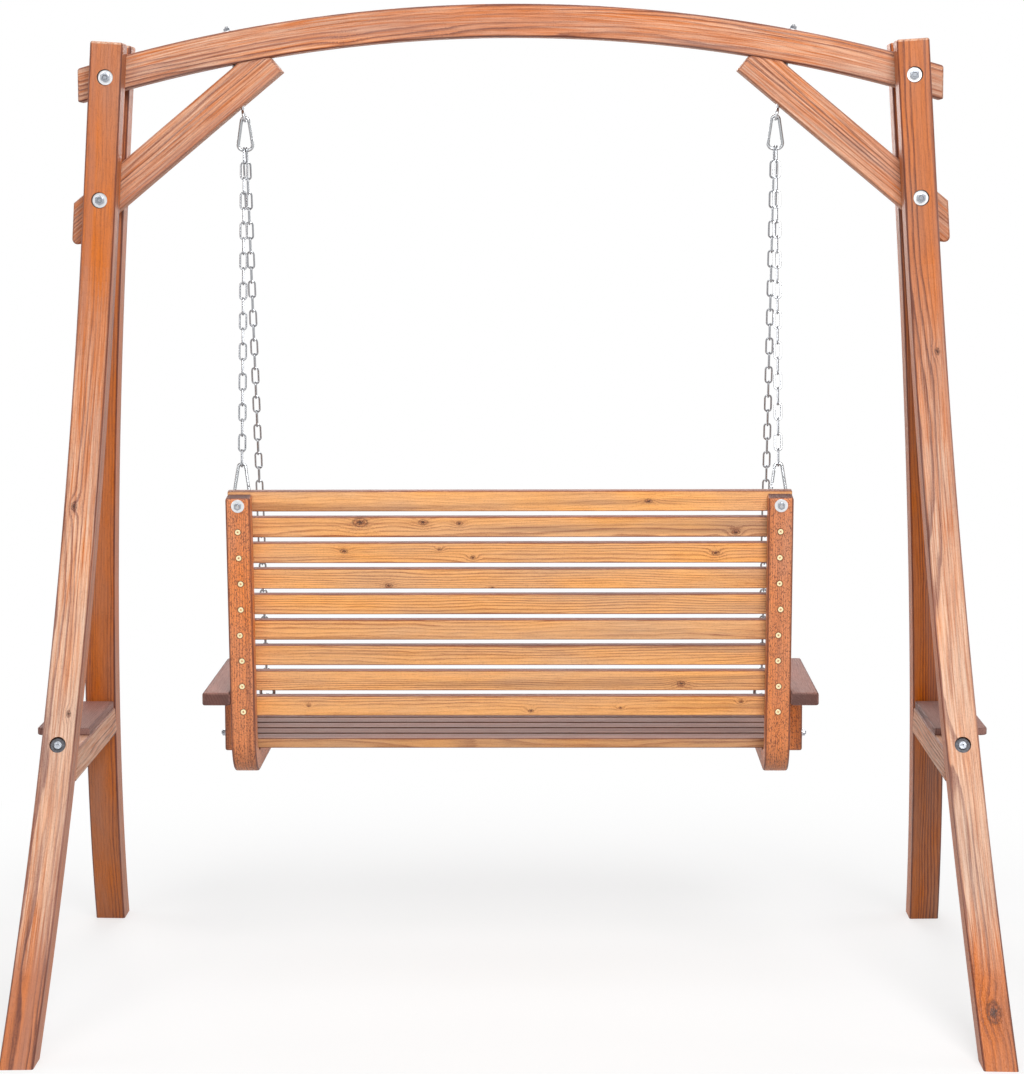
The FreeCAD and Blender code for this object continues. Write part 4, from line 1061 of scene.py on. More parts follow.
class SWING_OT_legs(bpy.types.Operator):
    """Build the four bent legs with their counterbores, cut level at the ground"""
    bl_idname = "swing.legs"
    bl_label = "Legs"

    def blank(self):
        """One leg in its own frame, longer than needed."""
        stand = sizes().stand
        middle_y = (stand.beam_thick + stand.leg_thick) / 2
        radius = stand.leg_bend_radius - stand.leg_thick / 2
        fall = leg_top() / math.cos(stand.leg_lean) + stand.leg_width - stand.leg_straight
        sweep = math.asin(fall / (stand.leg_bend_radius - stand.leg_thick))
        down = -math.pi / 2
        stations = [(place, bent_station(0, middle_y, -place, down))
                    for place in lengthwise(0, stand.leg_straight)]
        for place in lengthwise(STEP, radius * sweep):
            turn = place / radius
            station = bent_station(0, bend_centre_y() - radius * math.cos(turn),
                                   -stand.leg_straight - radius * math.sin(turn), down + turn)
            stations.append((stand.leg_straight + place, station))
        return timber_bar(stations, stand.leg_width, stand.leg_thick, stand.timber_round).mesh("leg_blank")

    def mouths(self):
        """Where the three counterbores of a leg open, in the leg's own frame."""
        stand = sizes().stand
        outer = stand.beam_thick / 2 + stand.leg_thick
        places = [Matrix.Translation((0, outer, -drop)) @ Matrix.Rotation(math.pi / 2, 4, "X")
                  for drop in (stand.beam_bolt_drop, stand.brace_bolt_drop)]
        return places + [leg_matrix(1, 1).inverted() @ rail_bolt_matrix(1, 1, 0)]

    def sinks(self):
        """Cutters of the three counterbores of a leg."""
        stand = sizes().stand
        cutters = Form()
        profile = [(stand.sink_wide / 2, -stand.sink_depth), (stand.sink_wide / 2, stand.sink_depth)]
        for place in self.mouths():
            cutters.add(*turned(profile, 40), place)
        return cutters.mesh("leg_sinks")

    def fade(self, point):
        """The painted sheen of a leg lessens towards its foot."""
        return min(max(point.z - FOOT_FADE, 0) / FOOT_FADE, 1)

    def inside(self, point):
        """Painted shade of a point of the leg, which is full in one of its counterbores."""
        stand = sizes().stand
        for place in self.mouths():
            near = place.inverted() @ point
            if (math.hypot(near.x, near.y) < stand.sink_wide / 2 + MM
                    and MM / 2 < abs(near.z) < stand.sink_depth + MM):
                return 1.0
        return 0.0

    def grain_at(self, point):
        """Where a point of the leg lies along and across its grain."""
        stand = sizes().stand
        radius = stand.leg_bend_radius - stand.leg_thick / 2
        if point.z > -stand.leg_straight:
            return (-point.z, point.x, point.y - (stand.beam_thick + stand.leg_thick) / 2)
        out = bend_centre_y() - point.y
        down = -stand.leg_straight - point.z
        return (stand.leg_straight + radius * math.atan2(down, out), point.x, radius - math.hypot(out, down))

    def execute(self, context):
        stand = sizes().stand
        half = Vector((stand.leg_width, stand.leg_thick)) / 2
        bored = carved(self.blank(), self.sinks())
        for row, (side_name, side) in enumerate(SIDES.items()):
            for end_name, end in ENDS.items():
                name = "%s_%s" % (end_name, side_name)
                matrix = leg_matrix(side, end)
                mesh = cut_level(bored, matrix)
                back = matrix.inverted()
                grain = [self.grain_at(back @ vertex.co) for vertex in mesh.vertices]
                rim = [edge_share(u, v, half, stand.timber_round) for _, u, v in grain]
                # Faces that look up get painted sheen, fading at the foot; faces in the counterbores get
                # painted shade
                mark_timber(mesh, grain, rim, "leg", row * 2 + end, LEG_KNOTS[name], weathered(*LEG_WORN),
                            lambda polygon: self.inside(back @ polygon.center), self.fade)
                piece("leg_timber_" + name, mesh, timber("Stand timber"), ["leg_" + name])
        return {"FINISHED"}


def edge_share(u, v, half, radius):
    """How far round a rounded edge a point of a section lies: 1 at the middle of the rounding."""
    out_u = abs(u) - half.x + radius
    out_v = abs(v) - half.y + radius
    if out_u <= 0 or out_v <= 0:
        return 0.0
    return math.sin(2 * math.atan2(out_v, out_u))


def carved(mesh, tool_mesh):
    """The mesh after a tool is cut out of it."""
    body = bpy.data.objects.new("carved_body", mesh)
    tool = bpy.data.objects.new("carving_tool", tool_mesh)
    for made in (body, tool):
        bpy.context.scene.collection.objects.link(made)
    cut = body.modifiers.new("Carve", "BOOLEAN")
    cut.operation = "DIFFERENCE"
    cut.solver = "EXACT"
    cut.object = tool
    depsgraph = bpy.context.evaluated_depsgraph_get()
    result = bpy.data.meshes.new_from_object(body.evaluated_get(depsgraph))
    for made in (body, tool):
        bpy.data.objects.remove(made)
    return result


def cut_level(mesh, matrix):
    """A copy of the mesh in its place, cut off at the ground and closed there."""
    work = bmesh.new()
    work.from_mesh(mesh)
    work.transform(matrix)
    every = work.verts[:] + work.edges[:] + work.faces[:]
    cut = bmesh.ops.bisect_plane(work, geom=every, plane_co=(0, 0, 0), plane_no=(0, 0, -1), clear_outer=True)
    rim = [item for item in cut["geom_cut"] if isinstance(item, bmesh.types.BMEdge)]
    bmesh.ops.edgeloop_fill(work, edges=rim)
    made = bpy.data.meshes.new(mesh.name)
    work.to_mesh(made)
    work.free()
    return made


class SWING_OT_braces(bpy.types.Operator):
    """Build the two knee braces between legs and beam"""
    bl_idname = "swing.braces"
    bl_label = "Knee braces"

    def outline(self):
        """The right brace seen from the front, as distances along and across it from its bolt."""
        stand = sizes().stand
        half = stand.brace_width / 2
        slope = stand.brace_angle
        bolt = bolt_point(1, stand.brace_bolt_drop)
        lean = slope + stand.leg_lean
        inner = stand.beam_radius - stand.beam_depth

        def reach(v):
            """Where a line along the brace meets the beam's underside, or the square end before it."""
            x = bolt.x + math.sin(slope) * v
            z = bolt.z + math.cos(slope) * v - arc_z()
            half_b = -math.cos(slope) * x + math.sin(slope) * z
            return min(-half_b + math.sqrt(half_b ** 2 - x * x - z * z + inner ** 2), stand.brace_reach)

        def tail(v):
            """Where it meets the end that is cut along the leg."""
            return (math.sin(lean) * v - stand.brace_tail) / math.cos(lean)

        corner = stand.brace_corner
        acute = math.pi / 2 - lean
        centre = (tail(-half) + corner / math.tan(acute / 2), -half + corner)
        points = arc(centre, corner, -math.pi / 2, acute - math.pi, 10)
        points.append((tail(half), half))
        steps = 14
        for step in range(steps + 1):
            across = half - 2 * half * step / steps
            points.append((reach(across), across))
        return points

    def execute(self, context):
        stand = sizes().stand
        bolt = bolt_point(1, stand.brace_bolt_drop)
        cos, sin = math.cos(stand.brace_angle), math.sin(stand.brace_angle)
        upwards = Matrix(((-cos, sin, 0, bolt.x), (0, 0, 1, 0), (sin, cos, 0, bolt.z), (0, 0, 0, 1)))
        mirrored = Matrix.Diagonal((-1, 1, 1, 1)) @ upwards
        for row, (name, side) in enumerate(SIDES.items()):
            form = timber_plate(self.outline()[::-1], stand.beam_thick, stand.timber_round,
                                upwards if side > 0 else mirrored, lambda u, v, w: (u, v, w))
            if side < 0:
                form.faces = [face[::-1] for face in form.faces]
            # Braces get an even share of painted sheen
            finish_timber(form, "brace_timber_" + name, "Stand timber", "stand_timber", "knee_brace_" + name,
                          "brace", row, worn=evenly(BRACE_WORN))
        return {"FINISHED"}


# Rounded rim of the shelves
SHELF_ROUND = 3 * MM


class SWING_OT_rails(bpy.types.Operator):
    """Build the side rails between the legs, and the drinks shelves on them"""
    bl_idname = "swing.rails"
    bl_label = "Rails and shelves"

    def execute(self, context):
        for row, name in enumerate(SIDES):
            self.rail(name, row)
            self.shelf(name, row)
        return {"FINISHED"}

    def rail(self, name, row):
        """A rail, its square ends sloped to the bend of the legs."""
        low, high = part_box("side_rail_" + name)
        middle = (low + high) / 2
        wide = high - low
        stations = [(y, bent_station(middle.x, y, middle.z, 0)) for y in lengthwise(low.y, high.y)]
        form = timber_bar(stations, wide.x, wide.z, sizes().stand.timber_round)
        for point in form.points:
            if abs(point.y) > leg_face(high.z) - STEP:
                point.y = math.copysign(min(abs(point.y), leg_face(point.z)), point.y)
        # Rails get an even share of painted sheen
        finish_timber(form, "rail_timber_" + name, "Stand timber", "stand_timber", "side_rail_" + name,
                      "rail", row, worn=evenly(RAIL_WORN))

    def shelf(self, name, row):
        """A shelf with two rounded corners on its outer side."""
        low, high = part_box("side_shelf_" + name)
        middle = (low + high) / 2
        outer = high.x if SIDES[name] > 0 else low.x
        radius = sizes().stand.shelf_corner
        outline = []
        corners = ((high.x, high.y), (low.x, high.y), (low.x, low.y), (high.x, low.y))
        for quarter, (x, y) in enumerate(corners):
            if abs(x - outer) < MM:
                centre = (x - math.copysign(radius, x - middle.x), y - math.copysign(radius, y - middle.y))
                outline += arc(centre, radius, quarter * math.pi / 2, math.pi / 2, 6)
            else:
                outline.append((x, y))
        form = timber_plate(outline, high.z - low.z, SHELF_ROUND, shifted(middle.z),
                            lambda u, v, w: (v, u, w))
        finish_timber(form, "shelf_timber_" + name, "Arm timber", "dark_timber", "side_shelf_" + name,
                      "shelf", row, worn=evenly(SHELF_WORN))


def leg_face(z):
    """Distance from the stand's middle to the legs' inner face at a height."""
    stand = sizes().stand
    fall = (leg_top() - z) / math.cos(stand.leg_lean) - stand.leg_straight
    return bend_centre_y() - math.sqrt(stand.leg_bend_radius ** 2 - fall ** 2)


class SWING_OT_side_frames(bpy.types.Operator):
    """Build the bent side frames of the bench, seat run and back post in one"""
    bl_idname = "swing.side_frames"
    bl_label = "Side frames"

    def execute(self, context):
        bench = sizes().bench
        radius = bench.bend_inner + bench.frame_thick / 2
        centre_z = frame_top() + bench.bend_inner
        run_z = frame_top() - bench.frame_thick / 2
        sweep = math.pi / 2 - bench.recline
        for row, (name, side) in enumerate(SIDES.items()):
            x = side * chain_x()
            stations = [(place, bent_station(x, seat_front() + place, run_z, 0))
                        for place in lengthwise(0, bench.seat_run)]
            for place in lengthwise(0, radius * sweep, STEP / 4)[1:]:
                turn = place / radius
                station = bent_station(x, bench.bend_y + radius * math.sin(turn),
                                       centre_z - radius * math.cos(turn), turn)
                stations.append((bench.seat_run + place, station))
            start = bench.seat_run + radius * sweep
            for place in lengthwise(0, bench.post_length)[1:]:
                point = post_matrix(x, place, bench.frame_thick / 2).translation
                stations.append((start + place, bent_station(x, point.y, point.z, sweep)))
            form = timber_bar(stations, bench.frame_width, bench.frame_thick, sizes().stand.timber_round)
            # Faces of the side frames that look up get painted top shade
            finish_timber(form, "side_frame_timber_" + name, "Frame timber", "bench_frame_timber",
                          "side_frame_" + name, "side_frame", row, worn=weathered(FRAME_WORN))
        return {"FINISHED"}


class SWING_OT_slats(bpy.types.Operator):
    """Build the slats of back and seat"""
    bl_idname = "swing.slats"
    bl_label = "Slats"

    def execute(self, context):
        bench = sizes().bench
        half = bench.slat_thick / 2
        flat = Matrix.Rotation(math.pi / 2, 4, "X")
        for index in range(BACK_SLATS):
            middle = post_matrix(0, back_slat_up(index), -half)
            knots = BACK_KNOTS.get(index + 1, ())
            self.slat("back_slat", index + 1, middle, bench.back_slat_width, knots, fresh)
        for index in range(SEAT_SLATS):
            middle = Matrix.Translation((0, seat_slat_y(index), frame_top() + half)) @ flat
            self.slat("seat_slat", index + 1, middle, bench.seat_slat_width, (), self.gap_sides(index))
        return {"FINISHED"}

    def gap_sides(self, index):
        """Painted shade on the edges that face a gap of the seat, lighter at its front and rear."""
        first, last = index == 0, index == SEAT_SLATS - 1

        def darkness(polygon):
            """Painted shade of a face of this slat."""
            if abs(polygon.normal.y) < EDGE_LOOK:
                return 0.0
            outer = last if polygon.normal.y > 0 else first
            return OUTER_SHADE if outer else GAP_SHADE

        return darkness

    def slat(self, kind, number, middle, wide, knots, sunk):
        """One slat along X; its width stands along the middle matrix' Z."""
        bench = sizes().bench
        half = bench.bench_width / 2
        turned_up = Matrix(((0, 0, 1, 0), (0, 1, 0, 0), (-1, 0, 0, 0), (0, 0, 0, 1)))
        stations = [(place, middle @ Matrix.Translation((place, 0, 0)) @ turned_up)
                    for place in lengthwise(-half, half)]
        form = timber_bar(stations, wide, bench.slat_thick, bench.slat_round)
        form.grain = [(place, -u, v) for place, u, v in form.grain]
        # Faces of the slats that look up get painted top shade; seat slats' edges get painted shade in the
        # gaps
        finish_timber(form, "%s_timber_%d" % (kind, number), "Slat timber", "slat_timber",
                      "%s_%d" % (kind, number), kind, number,
                      knots=knots, worn=weathered(SLAT_WORN), sunk=sunk)


class SWING_OT_arms(bpy.types.Operator):
    """Build the armrests and their supports"""
    bl_idname = "swing.arms"
    bl_label = "Armrests"

    def execute(self, context):
        lying = bent_station(0, 0, 0, 0)
        for row, name in enumerate(SIDES):
            self.bar("armrest", name, row, 1, lying, "Arm timber", evenly(ARMREST_WORN))
            self.bar("arm_support", name, row, 2, Matrix.Identity(4), "Frame timber", fresh)
        return {"FINISHED"}

    def bar(self, kind, side_name, row, axis, turn, material, worn):
        """Timber that fills a node's box, its grain along the given axis, to which the turn brings +Z."""
        node = "%s_%s" % (kind, side_name)
        low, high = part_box(node)
        place = Matrix.Translation((low + high) / 2) @ turn
        wide = high - low
        half = wide[axis] / 2
        stations = [(along, place @ shifted(along)) for along in lengthwise(-half, half)]
        form = timber_bar(stations, wide.x, wide[3 - axis], sizes().stand.timber_round)
        finish_timber(form, "%s_timber_%s" % (kind, side_name), material, "dark_timber", node, kind, row,
                      worn=worn)


# Fasteners
# Inner width of a bolt head's top as a share of its shank, and a thread's width as a share of its shank
HEAD_BORE = 0.2
THREAD_SHARE = 0.99
COARSE_PITCH = 1.5 * MM
FINE_PITCH = 1.25 * MM
# Softened edge of a washer, as a share of its thickness
WASHER_SOFT = 0.2
# Flat face of a nut or bolt head inside its chamfer, as a share of its flats, and the chamfer's slope
NUT_FACE = 0.97
NUT_CHAMFER = math.tan(math.radians(30))
# A thread in pitches: its depth, where its crest starts and ends, and where its root starts
THREAD_DEPTH = 0.55
THREAD_CREST = (0.35, 0.55)
THREAD_ROOT = 0.95
# Chamfer at a thread's end in pitches: how far it lies under the crest, and how far from the end it starts
CHAMFER_UNDER = 0.2
CHAMFER_START = 0.7
# Cone of a wood screw: width of its foot and its depth, in head widths
CONE_FOOT = 0.5
CONE_DEPTH = 0.28
# Edge of a wood screw's head: share of its radius, and height
SCREW_EDGE = ((1.0, -0.4 * MM), (1.0, 0.2 * MM), (0.93, 0.5 * MM))
# Cross recess of a wood screw: core, arms and floor in head radii, height of its edge, depth in head widths
CROSS_CORE = 0.2
CROSS_ARM = 0.36
CROSS_FLOOR = 0.16
CROSS_HEIGHT = 0.4 * MM
CROSS_DEPTH = 0.2
# Socket head: its foot in radii, and its softened rim and the depth of its socket in head heights
SOCKET_FOOT = 0.4
SOCKET_SOFT = 0.14
SOCKET_DEPTH = 0.6


def washer(wide, hole, thick):
    """A flat washer on Z = 0 with softened edges."""
    soft = thick * WASHER_SOFT
    inner, outer = hole / 2, wide / 2
    return turned([(inner, 0), (outer - soft, 0), (outer, soft), (outer, thick - soft),
                   (outer - soft, thick), (inner, thick)], 40, True)


def hexagon(flats):
    """Distance from a hexagon's middle to its edge, as a function of the turn."""
    sixth = math.pi / 3
    return lambda turn: flats / 2 / math.cos((turn + sixth / 2) % sixth - sixth / 2)


def hexagonal(flats, height, bore, sides=48):
    """A nut or bolt head on Z = 0 with chamfered corners, round a bore."""
    face = flats / 2 * NUT_FACE
    low = [(x, y, (math.hypot(x, y) - face) * NUT_CHAMFER) for x, y, _ in circle(hexagon(flats), 0, sides)]
    high = [(x, y, height - z) for x, y, z in low]
    return lofted([circle(bore / 2, 0, sides), circle(face, 0, sides), low, high,
                   circle(face, height, sides), circle(bore / 2, height, sides)], True)


def thread(wide, start, end, pitch=FINE_PITCH):
    """A threaded length along Z with a chamfered end."""
    radius = wide / 2
    core = radius - pitch * THREAD_DEPTH
    profile = [(core, start)]
    for turn in range(max(1, int((end - start - pitch) / pitch))):
        foot = start + turn * pitch
        profile += [(radius, foot + pitch * share) for share in THREAD_CREST]
        profile.append((core, foot + pitch * THREAD_ROOT))
    profile += [(radius - pitch * CHAMFER_UNDER, end - pitch * CHAMFER_START), (core, end)]
    return turned(profile)


def wood_screw(wide, sides=32):
    """Countersunk screw head on Z = 0, +Z outwards, with a cross recess."""
    radius = wide / 2

    def cross(turn):
        """Edge of the cross recess."""
        return radius * (CROSS_CORE + CROSS_ARM * abs(math.cos(2 * turn)) ** 3)

    rings = [circle(radius * CONE_FOOT, -wide * CONE_DEPTH, sides)]
    rings += [circle(radius * share, height, sides) for share, height in SCREW_EDGE]
    rings.append(circle(cross, CROSS_HEIGHT, sides))
    rings.append(circle(radius * CROSS_FLOOR, -wide * CROSS_DEPTH, sides))
    return lofted(rings)


def socket_head(wide, height, key, sides=36):
    """Cylinder head on Z = 0 with a hexagon socket in its top."""
    radius = wide / 2
    soft = height * SOCKET_SOFT
    rings = [circle(radius * SOCKET_FOOT, 0, sides), circle(radius, 0, sides),
             circle(radius, height - soft, sides), circle(radius - soft, height, sides)]
    rings += [circle(hexagon(key), z, sides) for z in (height, height - height * SOCKET_DEPTH)]
    return lofted(rings)


def washer_and_nut(washers, nuts, place):
    """Washer and nut of an eye bolt or an arm bolt, on a face with +Z outwards."""
    hang = sizes().hang
    washers.add(*washer(hang.eye_washer_wide, hang.eye_shank + MM, hang.eye_washer_thick), place)
    nuts.add(*hexagonal(hang.eye_nut_flats, hang.eye_nut_height, hang.eye_shank),
             place @ shifted(hang.eye_washer_thick))


class SWING_OT_stand_fasteners(bpy.types.Operator):
    """Build the bolts, nuts and washers of the stand"""
    bl_idname = "swing.stand_fasteners"
    bl_label = "Stand fasteners"

    def execute(self, context):
        stand = sizes().stand
        bolts, nuts, washers, rail_bolts, deep_washers = Form(), Form(), Form(), Form(), Form()
        for side in SIDES.values():
            for drop in (stand.beam_bolt_drop, stand.brace_bolt_drop):
                self.bolt(bolt_point(side, drop), bolts, nuts, washers)
            for end in ENDS.values():
                self.rail_bolt(rail_bolt_matrix(side, end, stand.sink_depth), rail_bolts, deep_washers)
            washer_and_nut(washers, nuts, hang_matrix(side, stand.beam_radius))
        finish_metal(bolts, "stand_bolt_set", "Nut zinc", "stand_bolts")
        finish_metal(nuts, "stand_nut_set", "Nut zinc", "stand_nuts")
        finish_metal(washers, "stand_washer_set", "Washer zinc", "stand_washers")
        finish_metal(deep_washers, "rail_washer_set", "Shaded zinc", "stand_washers")
        finish_metal(rail_bolts, "rail_bolt_set", "Brushed zinc", "rail_bolts")
        hidden = frame["nodes"]["barrel_nuts"]
        hidden.data.materials.clear()
        hidden.data.materials.append(metal("Zinc hardware"))
        return {"FINISHED"}

    def bolt(self, point, bolts, nuts, washers):
        """A bolt through two legs, its nut at the rear and its head in front, both sunk."""
        stand, _, hang, _ = sizes()
        seat = stand.beam_thick / 2 + stand.leg_thick - stand.sink_depth
        rear = facing(point + Vector((0, seat, 0)), (0, 1, 0))
        front = facing(point - Vector((0, seat, 0)), (0, -1, 0))
        on_washer = shifted(hang.washer_thick)
        for place in (rear, front):
            washers.add(*washer(hang.washer_wide, hang.bolt_shank + MM, hang.washer_thick), place)
        nuts.add(*hexagonal(hang.nut_flats, hang.nut_height, hang.bolt_shank), rear @ on_washer)
        bolts.add(*hexagonal(hang.nut_flats, hang.bolt_head_height, hang.bolt_shank * HEAD_BORE),
                  front @ on_washer)
        end = hang.washer_thick + hang.nut_height - MM
        bolts.add(*thread(hang.bolt_shank * THREAD_SHARE, -2 * seat, end, COARSE_PITCH), rear)

    def rail_bolt(self, inwards, bolts, washers):
        """A socket-head bolt through a leg into a rail, on a washer at the bottom of its sink."""
        stand, _, hang, _ = sizes()
        place = inwards @ Matrix.Rotation(math.pi, 4, "X")
        half = hang.eye_shank / 2
        washers.add(*washer(hang.washer_wide, hang.eye_shank + MM, hang.washer_thick), place)
        bolts.add(*socket_head(hang.rail_bolt_head, hang.rail_bolt_head_height, hang.rail_bolt_key),
                  place @ shifted(hang.washer_thick))
        bolts.add(*turned([(half, -stand.leg_thick), (half, MM)]), place)


# Plain neck between an eye and its thread
EYE_NECK = 12 * MM
# Width of the neck in shanks: inside the eye's wire, at the wire's edge, and below it
NECK_INSIDE = 0.72
NECK_EDGE = 0.8
NECK_PLAIN = 0.98


def eye_bolt(form, matrix, reach):
    """An eye at the matrix' origin with a threaded shank along +Z to the given reach."""
    hang = sizes().hang
    radius = eye_radius()
    ring = arc((0, 0), radius, 0, 2 * math.pi, 40)[:-1]
    form.add(*tube(ring, hang.eye_wire / 2, True), matrix @ Matrix.Rotation(math.pi / 2, 4, "Z"))
    half = hang.eye_shank / 2
    neck = radius + hang.eye_wire / 2
    form.add(*turned([(half * NECK_INSIDE, radius), (half * NECK_EDGE, neck - MM),
                      (half * NECK_PLAIN, neck + 2 * MM), (half * NECK_PLAIN, neck + EYE_NECK)]), matrix)
    form.add(*thread(hang.eye_shank * THREAD_SHARE, neck + EYE_NECK, reach), matrix)


class SWING_OT_eye_bolts(bpy.types.Operator):
    """Build the eye bolts of stand and bench, and the bench's nuts, washers and arm bolts"""
    bl_idname = "swing.eye_bolts"
    bl_label = "Eye bolts"

    def execute(self, context):
        stand, bench, hang, _ = sizes()
        past = hang.eye_washer_thick + hang.eye_nut_height + hang.eye_tail
        through = eye_stand() + bench.frame_thick
        eye = hang_eye_radius()
        hangers, eyes, nuts, washers, bolts = Form(), Form(), Form(), Form(), Form()
        for side in SIDES.values():
            eye_bolt(hangers, hang_matrix(side, eye), stand.beam_radius - eye + past)
            for place in (rear_eye_matrix(side), front_eye_matrix(side)):
                eye_bolt(eyes, place, through + past)
                washer_and_nut(washers, nuts, place @ shifted(through))
            self.arm_bolt(side, bolts, nuts, washers)
        finish_metal(hangers, "hanger_eye_set", "Zinc hardware", "hanger_eye_bolts")
        finish_metal(eyes, "bench_eye_set", "Zinc hardware", "bench_eye_bolts")
        finish_metal(nuts, "bench_nut_set", "Nut zinc", "bench_nuts")
        finish_metal(washers, "bench_washer_set", "Washer zinc", "bench_washers")
        finish_metal(bolts, "arm_bolt_set", "Nut zinc", "arm_bolts")
        return {"FINISHED"}

    def arm_bolt(self, side, bolts, nuts, washers):
        """The bolt through an arm support and its side frame, its nut on the outside."""
        _, bench, hang, _ = sizes()
        low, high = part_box("arm_support_" + ("right" if side > 0 else "left"))
        y = (low.y + high.y) / 2
        inner_x = side * (bench.bench_width / 2 - bench.frame_width)
        outer_x = high.x if side > 0 else low.x
        inner = facing((inner_x, y, hang.arm_bolt_z), (-side, 0, 0))
        outer = facing((outer_x, y, hang.arm_bolt_z), (side, 0, 0))
        washer_and_nut(washers, nuts, outer)
        washers.add(*washer(hang.eye_washer_wide, hang.eye_shank + MM, hang.eye_washer_thick), inner)
        bolts.add(*hexagonal(hang.eye_nut_flats, hang.arm_bolt_head_height, hang.eye_shank * HEAD_BORE),
                  inner @ shifted(hang.eye_washer_thick))
        end = hang.eye_washer_thick + hang.eye_nut_height + hang.arm_bolt_tail
        bolts.add(*thread(hang.eye_shank * THREAD_SHARE, low.x - high.x - bench.frame_width, end), outer)


# Ring of painted shade round a screw head: its width and its hole in head widths, its height and its shade
RIM_SHARE = 1.35
RIM_HOLE = 0.98
RIM_HEIGHT = 0.15 * MM
RIM_SHADE = 0.75
# Seed of the screws' places and turns, and how far they sit off the middle of a post
SCREW_SEED = 5
SCREW_PLAY = 2


class SWING_OT_screws(bpy.types.Operator):
    """Build the countersunk wood screws of the back and the seat"""
    bl_idname = "swing.screws"
    bl_label = "Wood screws"

    def execute(self, context):
        bench = sizes().bench
        chance = random.Random(SCREW_SEED)
        screws, rims = Form(), Form()
        for side in SIDES.values():
            for index in range(1, BACK_SLATS):
                x = side * chain_x() + chance.uniform(-SCREW_PLAY, SCREW_PLAY) * MM
                place = post_matrix(x, back_slat_up(index), bench.frame_thick)
                self.screw(screws, rims, place @ Matrix.Rotation(-math.pi / 2, 4, "X"), chance)
            for index in range(1, SEAT_SLATS):
                if seat_slat_y(index) <= bench.bend_y:
                    point = (side * chain_x(), seat_slat_y(index), frame_top() - bench.frame_thick)
                    self.screw(screws, rims, facing(point, (0, 0, -1)), chance)
        body = BODY_OF["side_frame_left"]
        piece("wood_screws", screws.mesh("wood_screws"), metal("Yellow screws"), [], body)
        mesh = rims.mesh("screw_rims")
        grain = [(point.z, point.x, point.y) for point in rims.points]
        # The ring takes painted shade all over
        mark_timber(mesh, grain, [0.0] * len(grain), "screw_rim", sunk=evenly(RIM_SHADE))
        piece("screw_rims", mesh, timber("Frame timber"), [], body)
        return {"FINISHED"}

    def screw(self, screws, rims, place, chance):
        """A screw with a thin ring of painted shade round its head."""
        wide = sizes().bench.screw_wide
        screws.add(*wood_screw(wide), place @ Matrix.Rotation(chance.uniform(0, math.pi), 4, "Z"))
        rims.add(*washer(wide * RIM_SHARE, wide * RIM_HOLE, RIM_HEIGHT), place)


# Round wire is this much thinner than its nominal radius, so that links and hooks turn freely
SLACK = 0.06 * MM
# Half width of a hook's tongues in wire widths, and play between the gate and the nose
TONGUE_SHARE = 0.42
NOSE_PLAY = 0.45 * MM
# Rivet of a gate: how far it stands proud, its head's height, and half its head's foot and top in pin widths
RIVET_PROUD = 0.3 * MM
RIVET_HEAD = 0.5 * MM
RIVET_FOOT = 0.62
RIVET_TOP = 0.3
# Softened end of a gate, as a share of its radius
GATE_SOFT = 0.25
# Depth of the slots at the gate's heel and tip, and how far their cutters pass the ends and the sides
HEEL_SLOT = 5.2 * MM
TIP_SLOT = 5.8 * MM
SLOT_PAST = 2 * MM
SLOT_REACH = 20 * MM


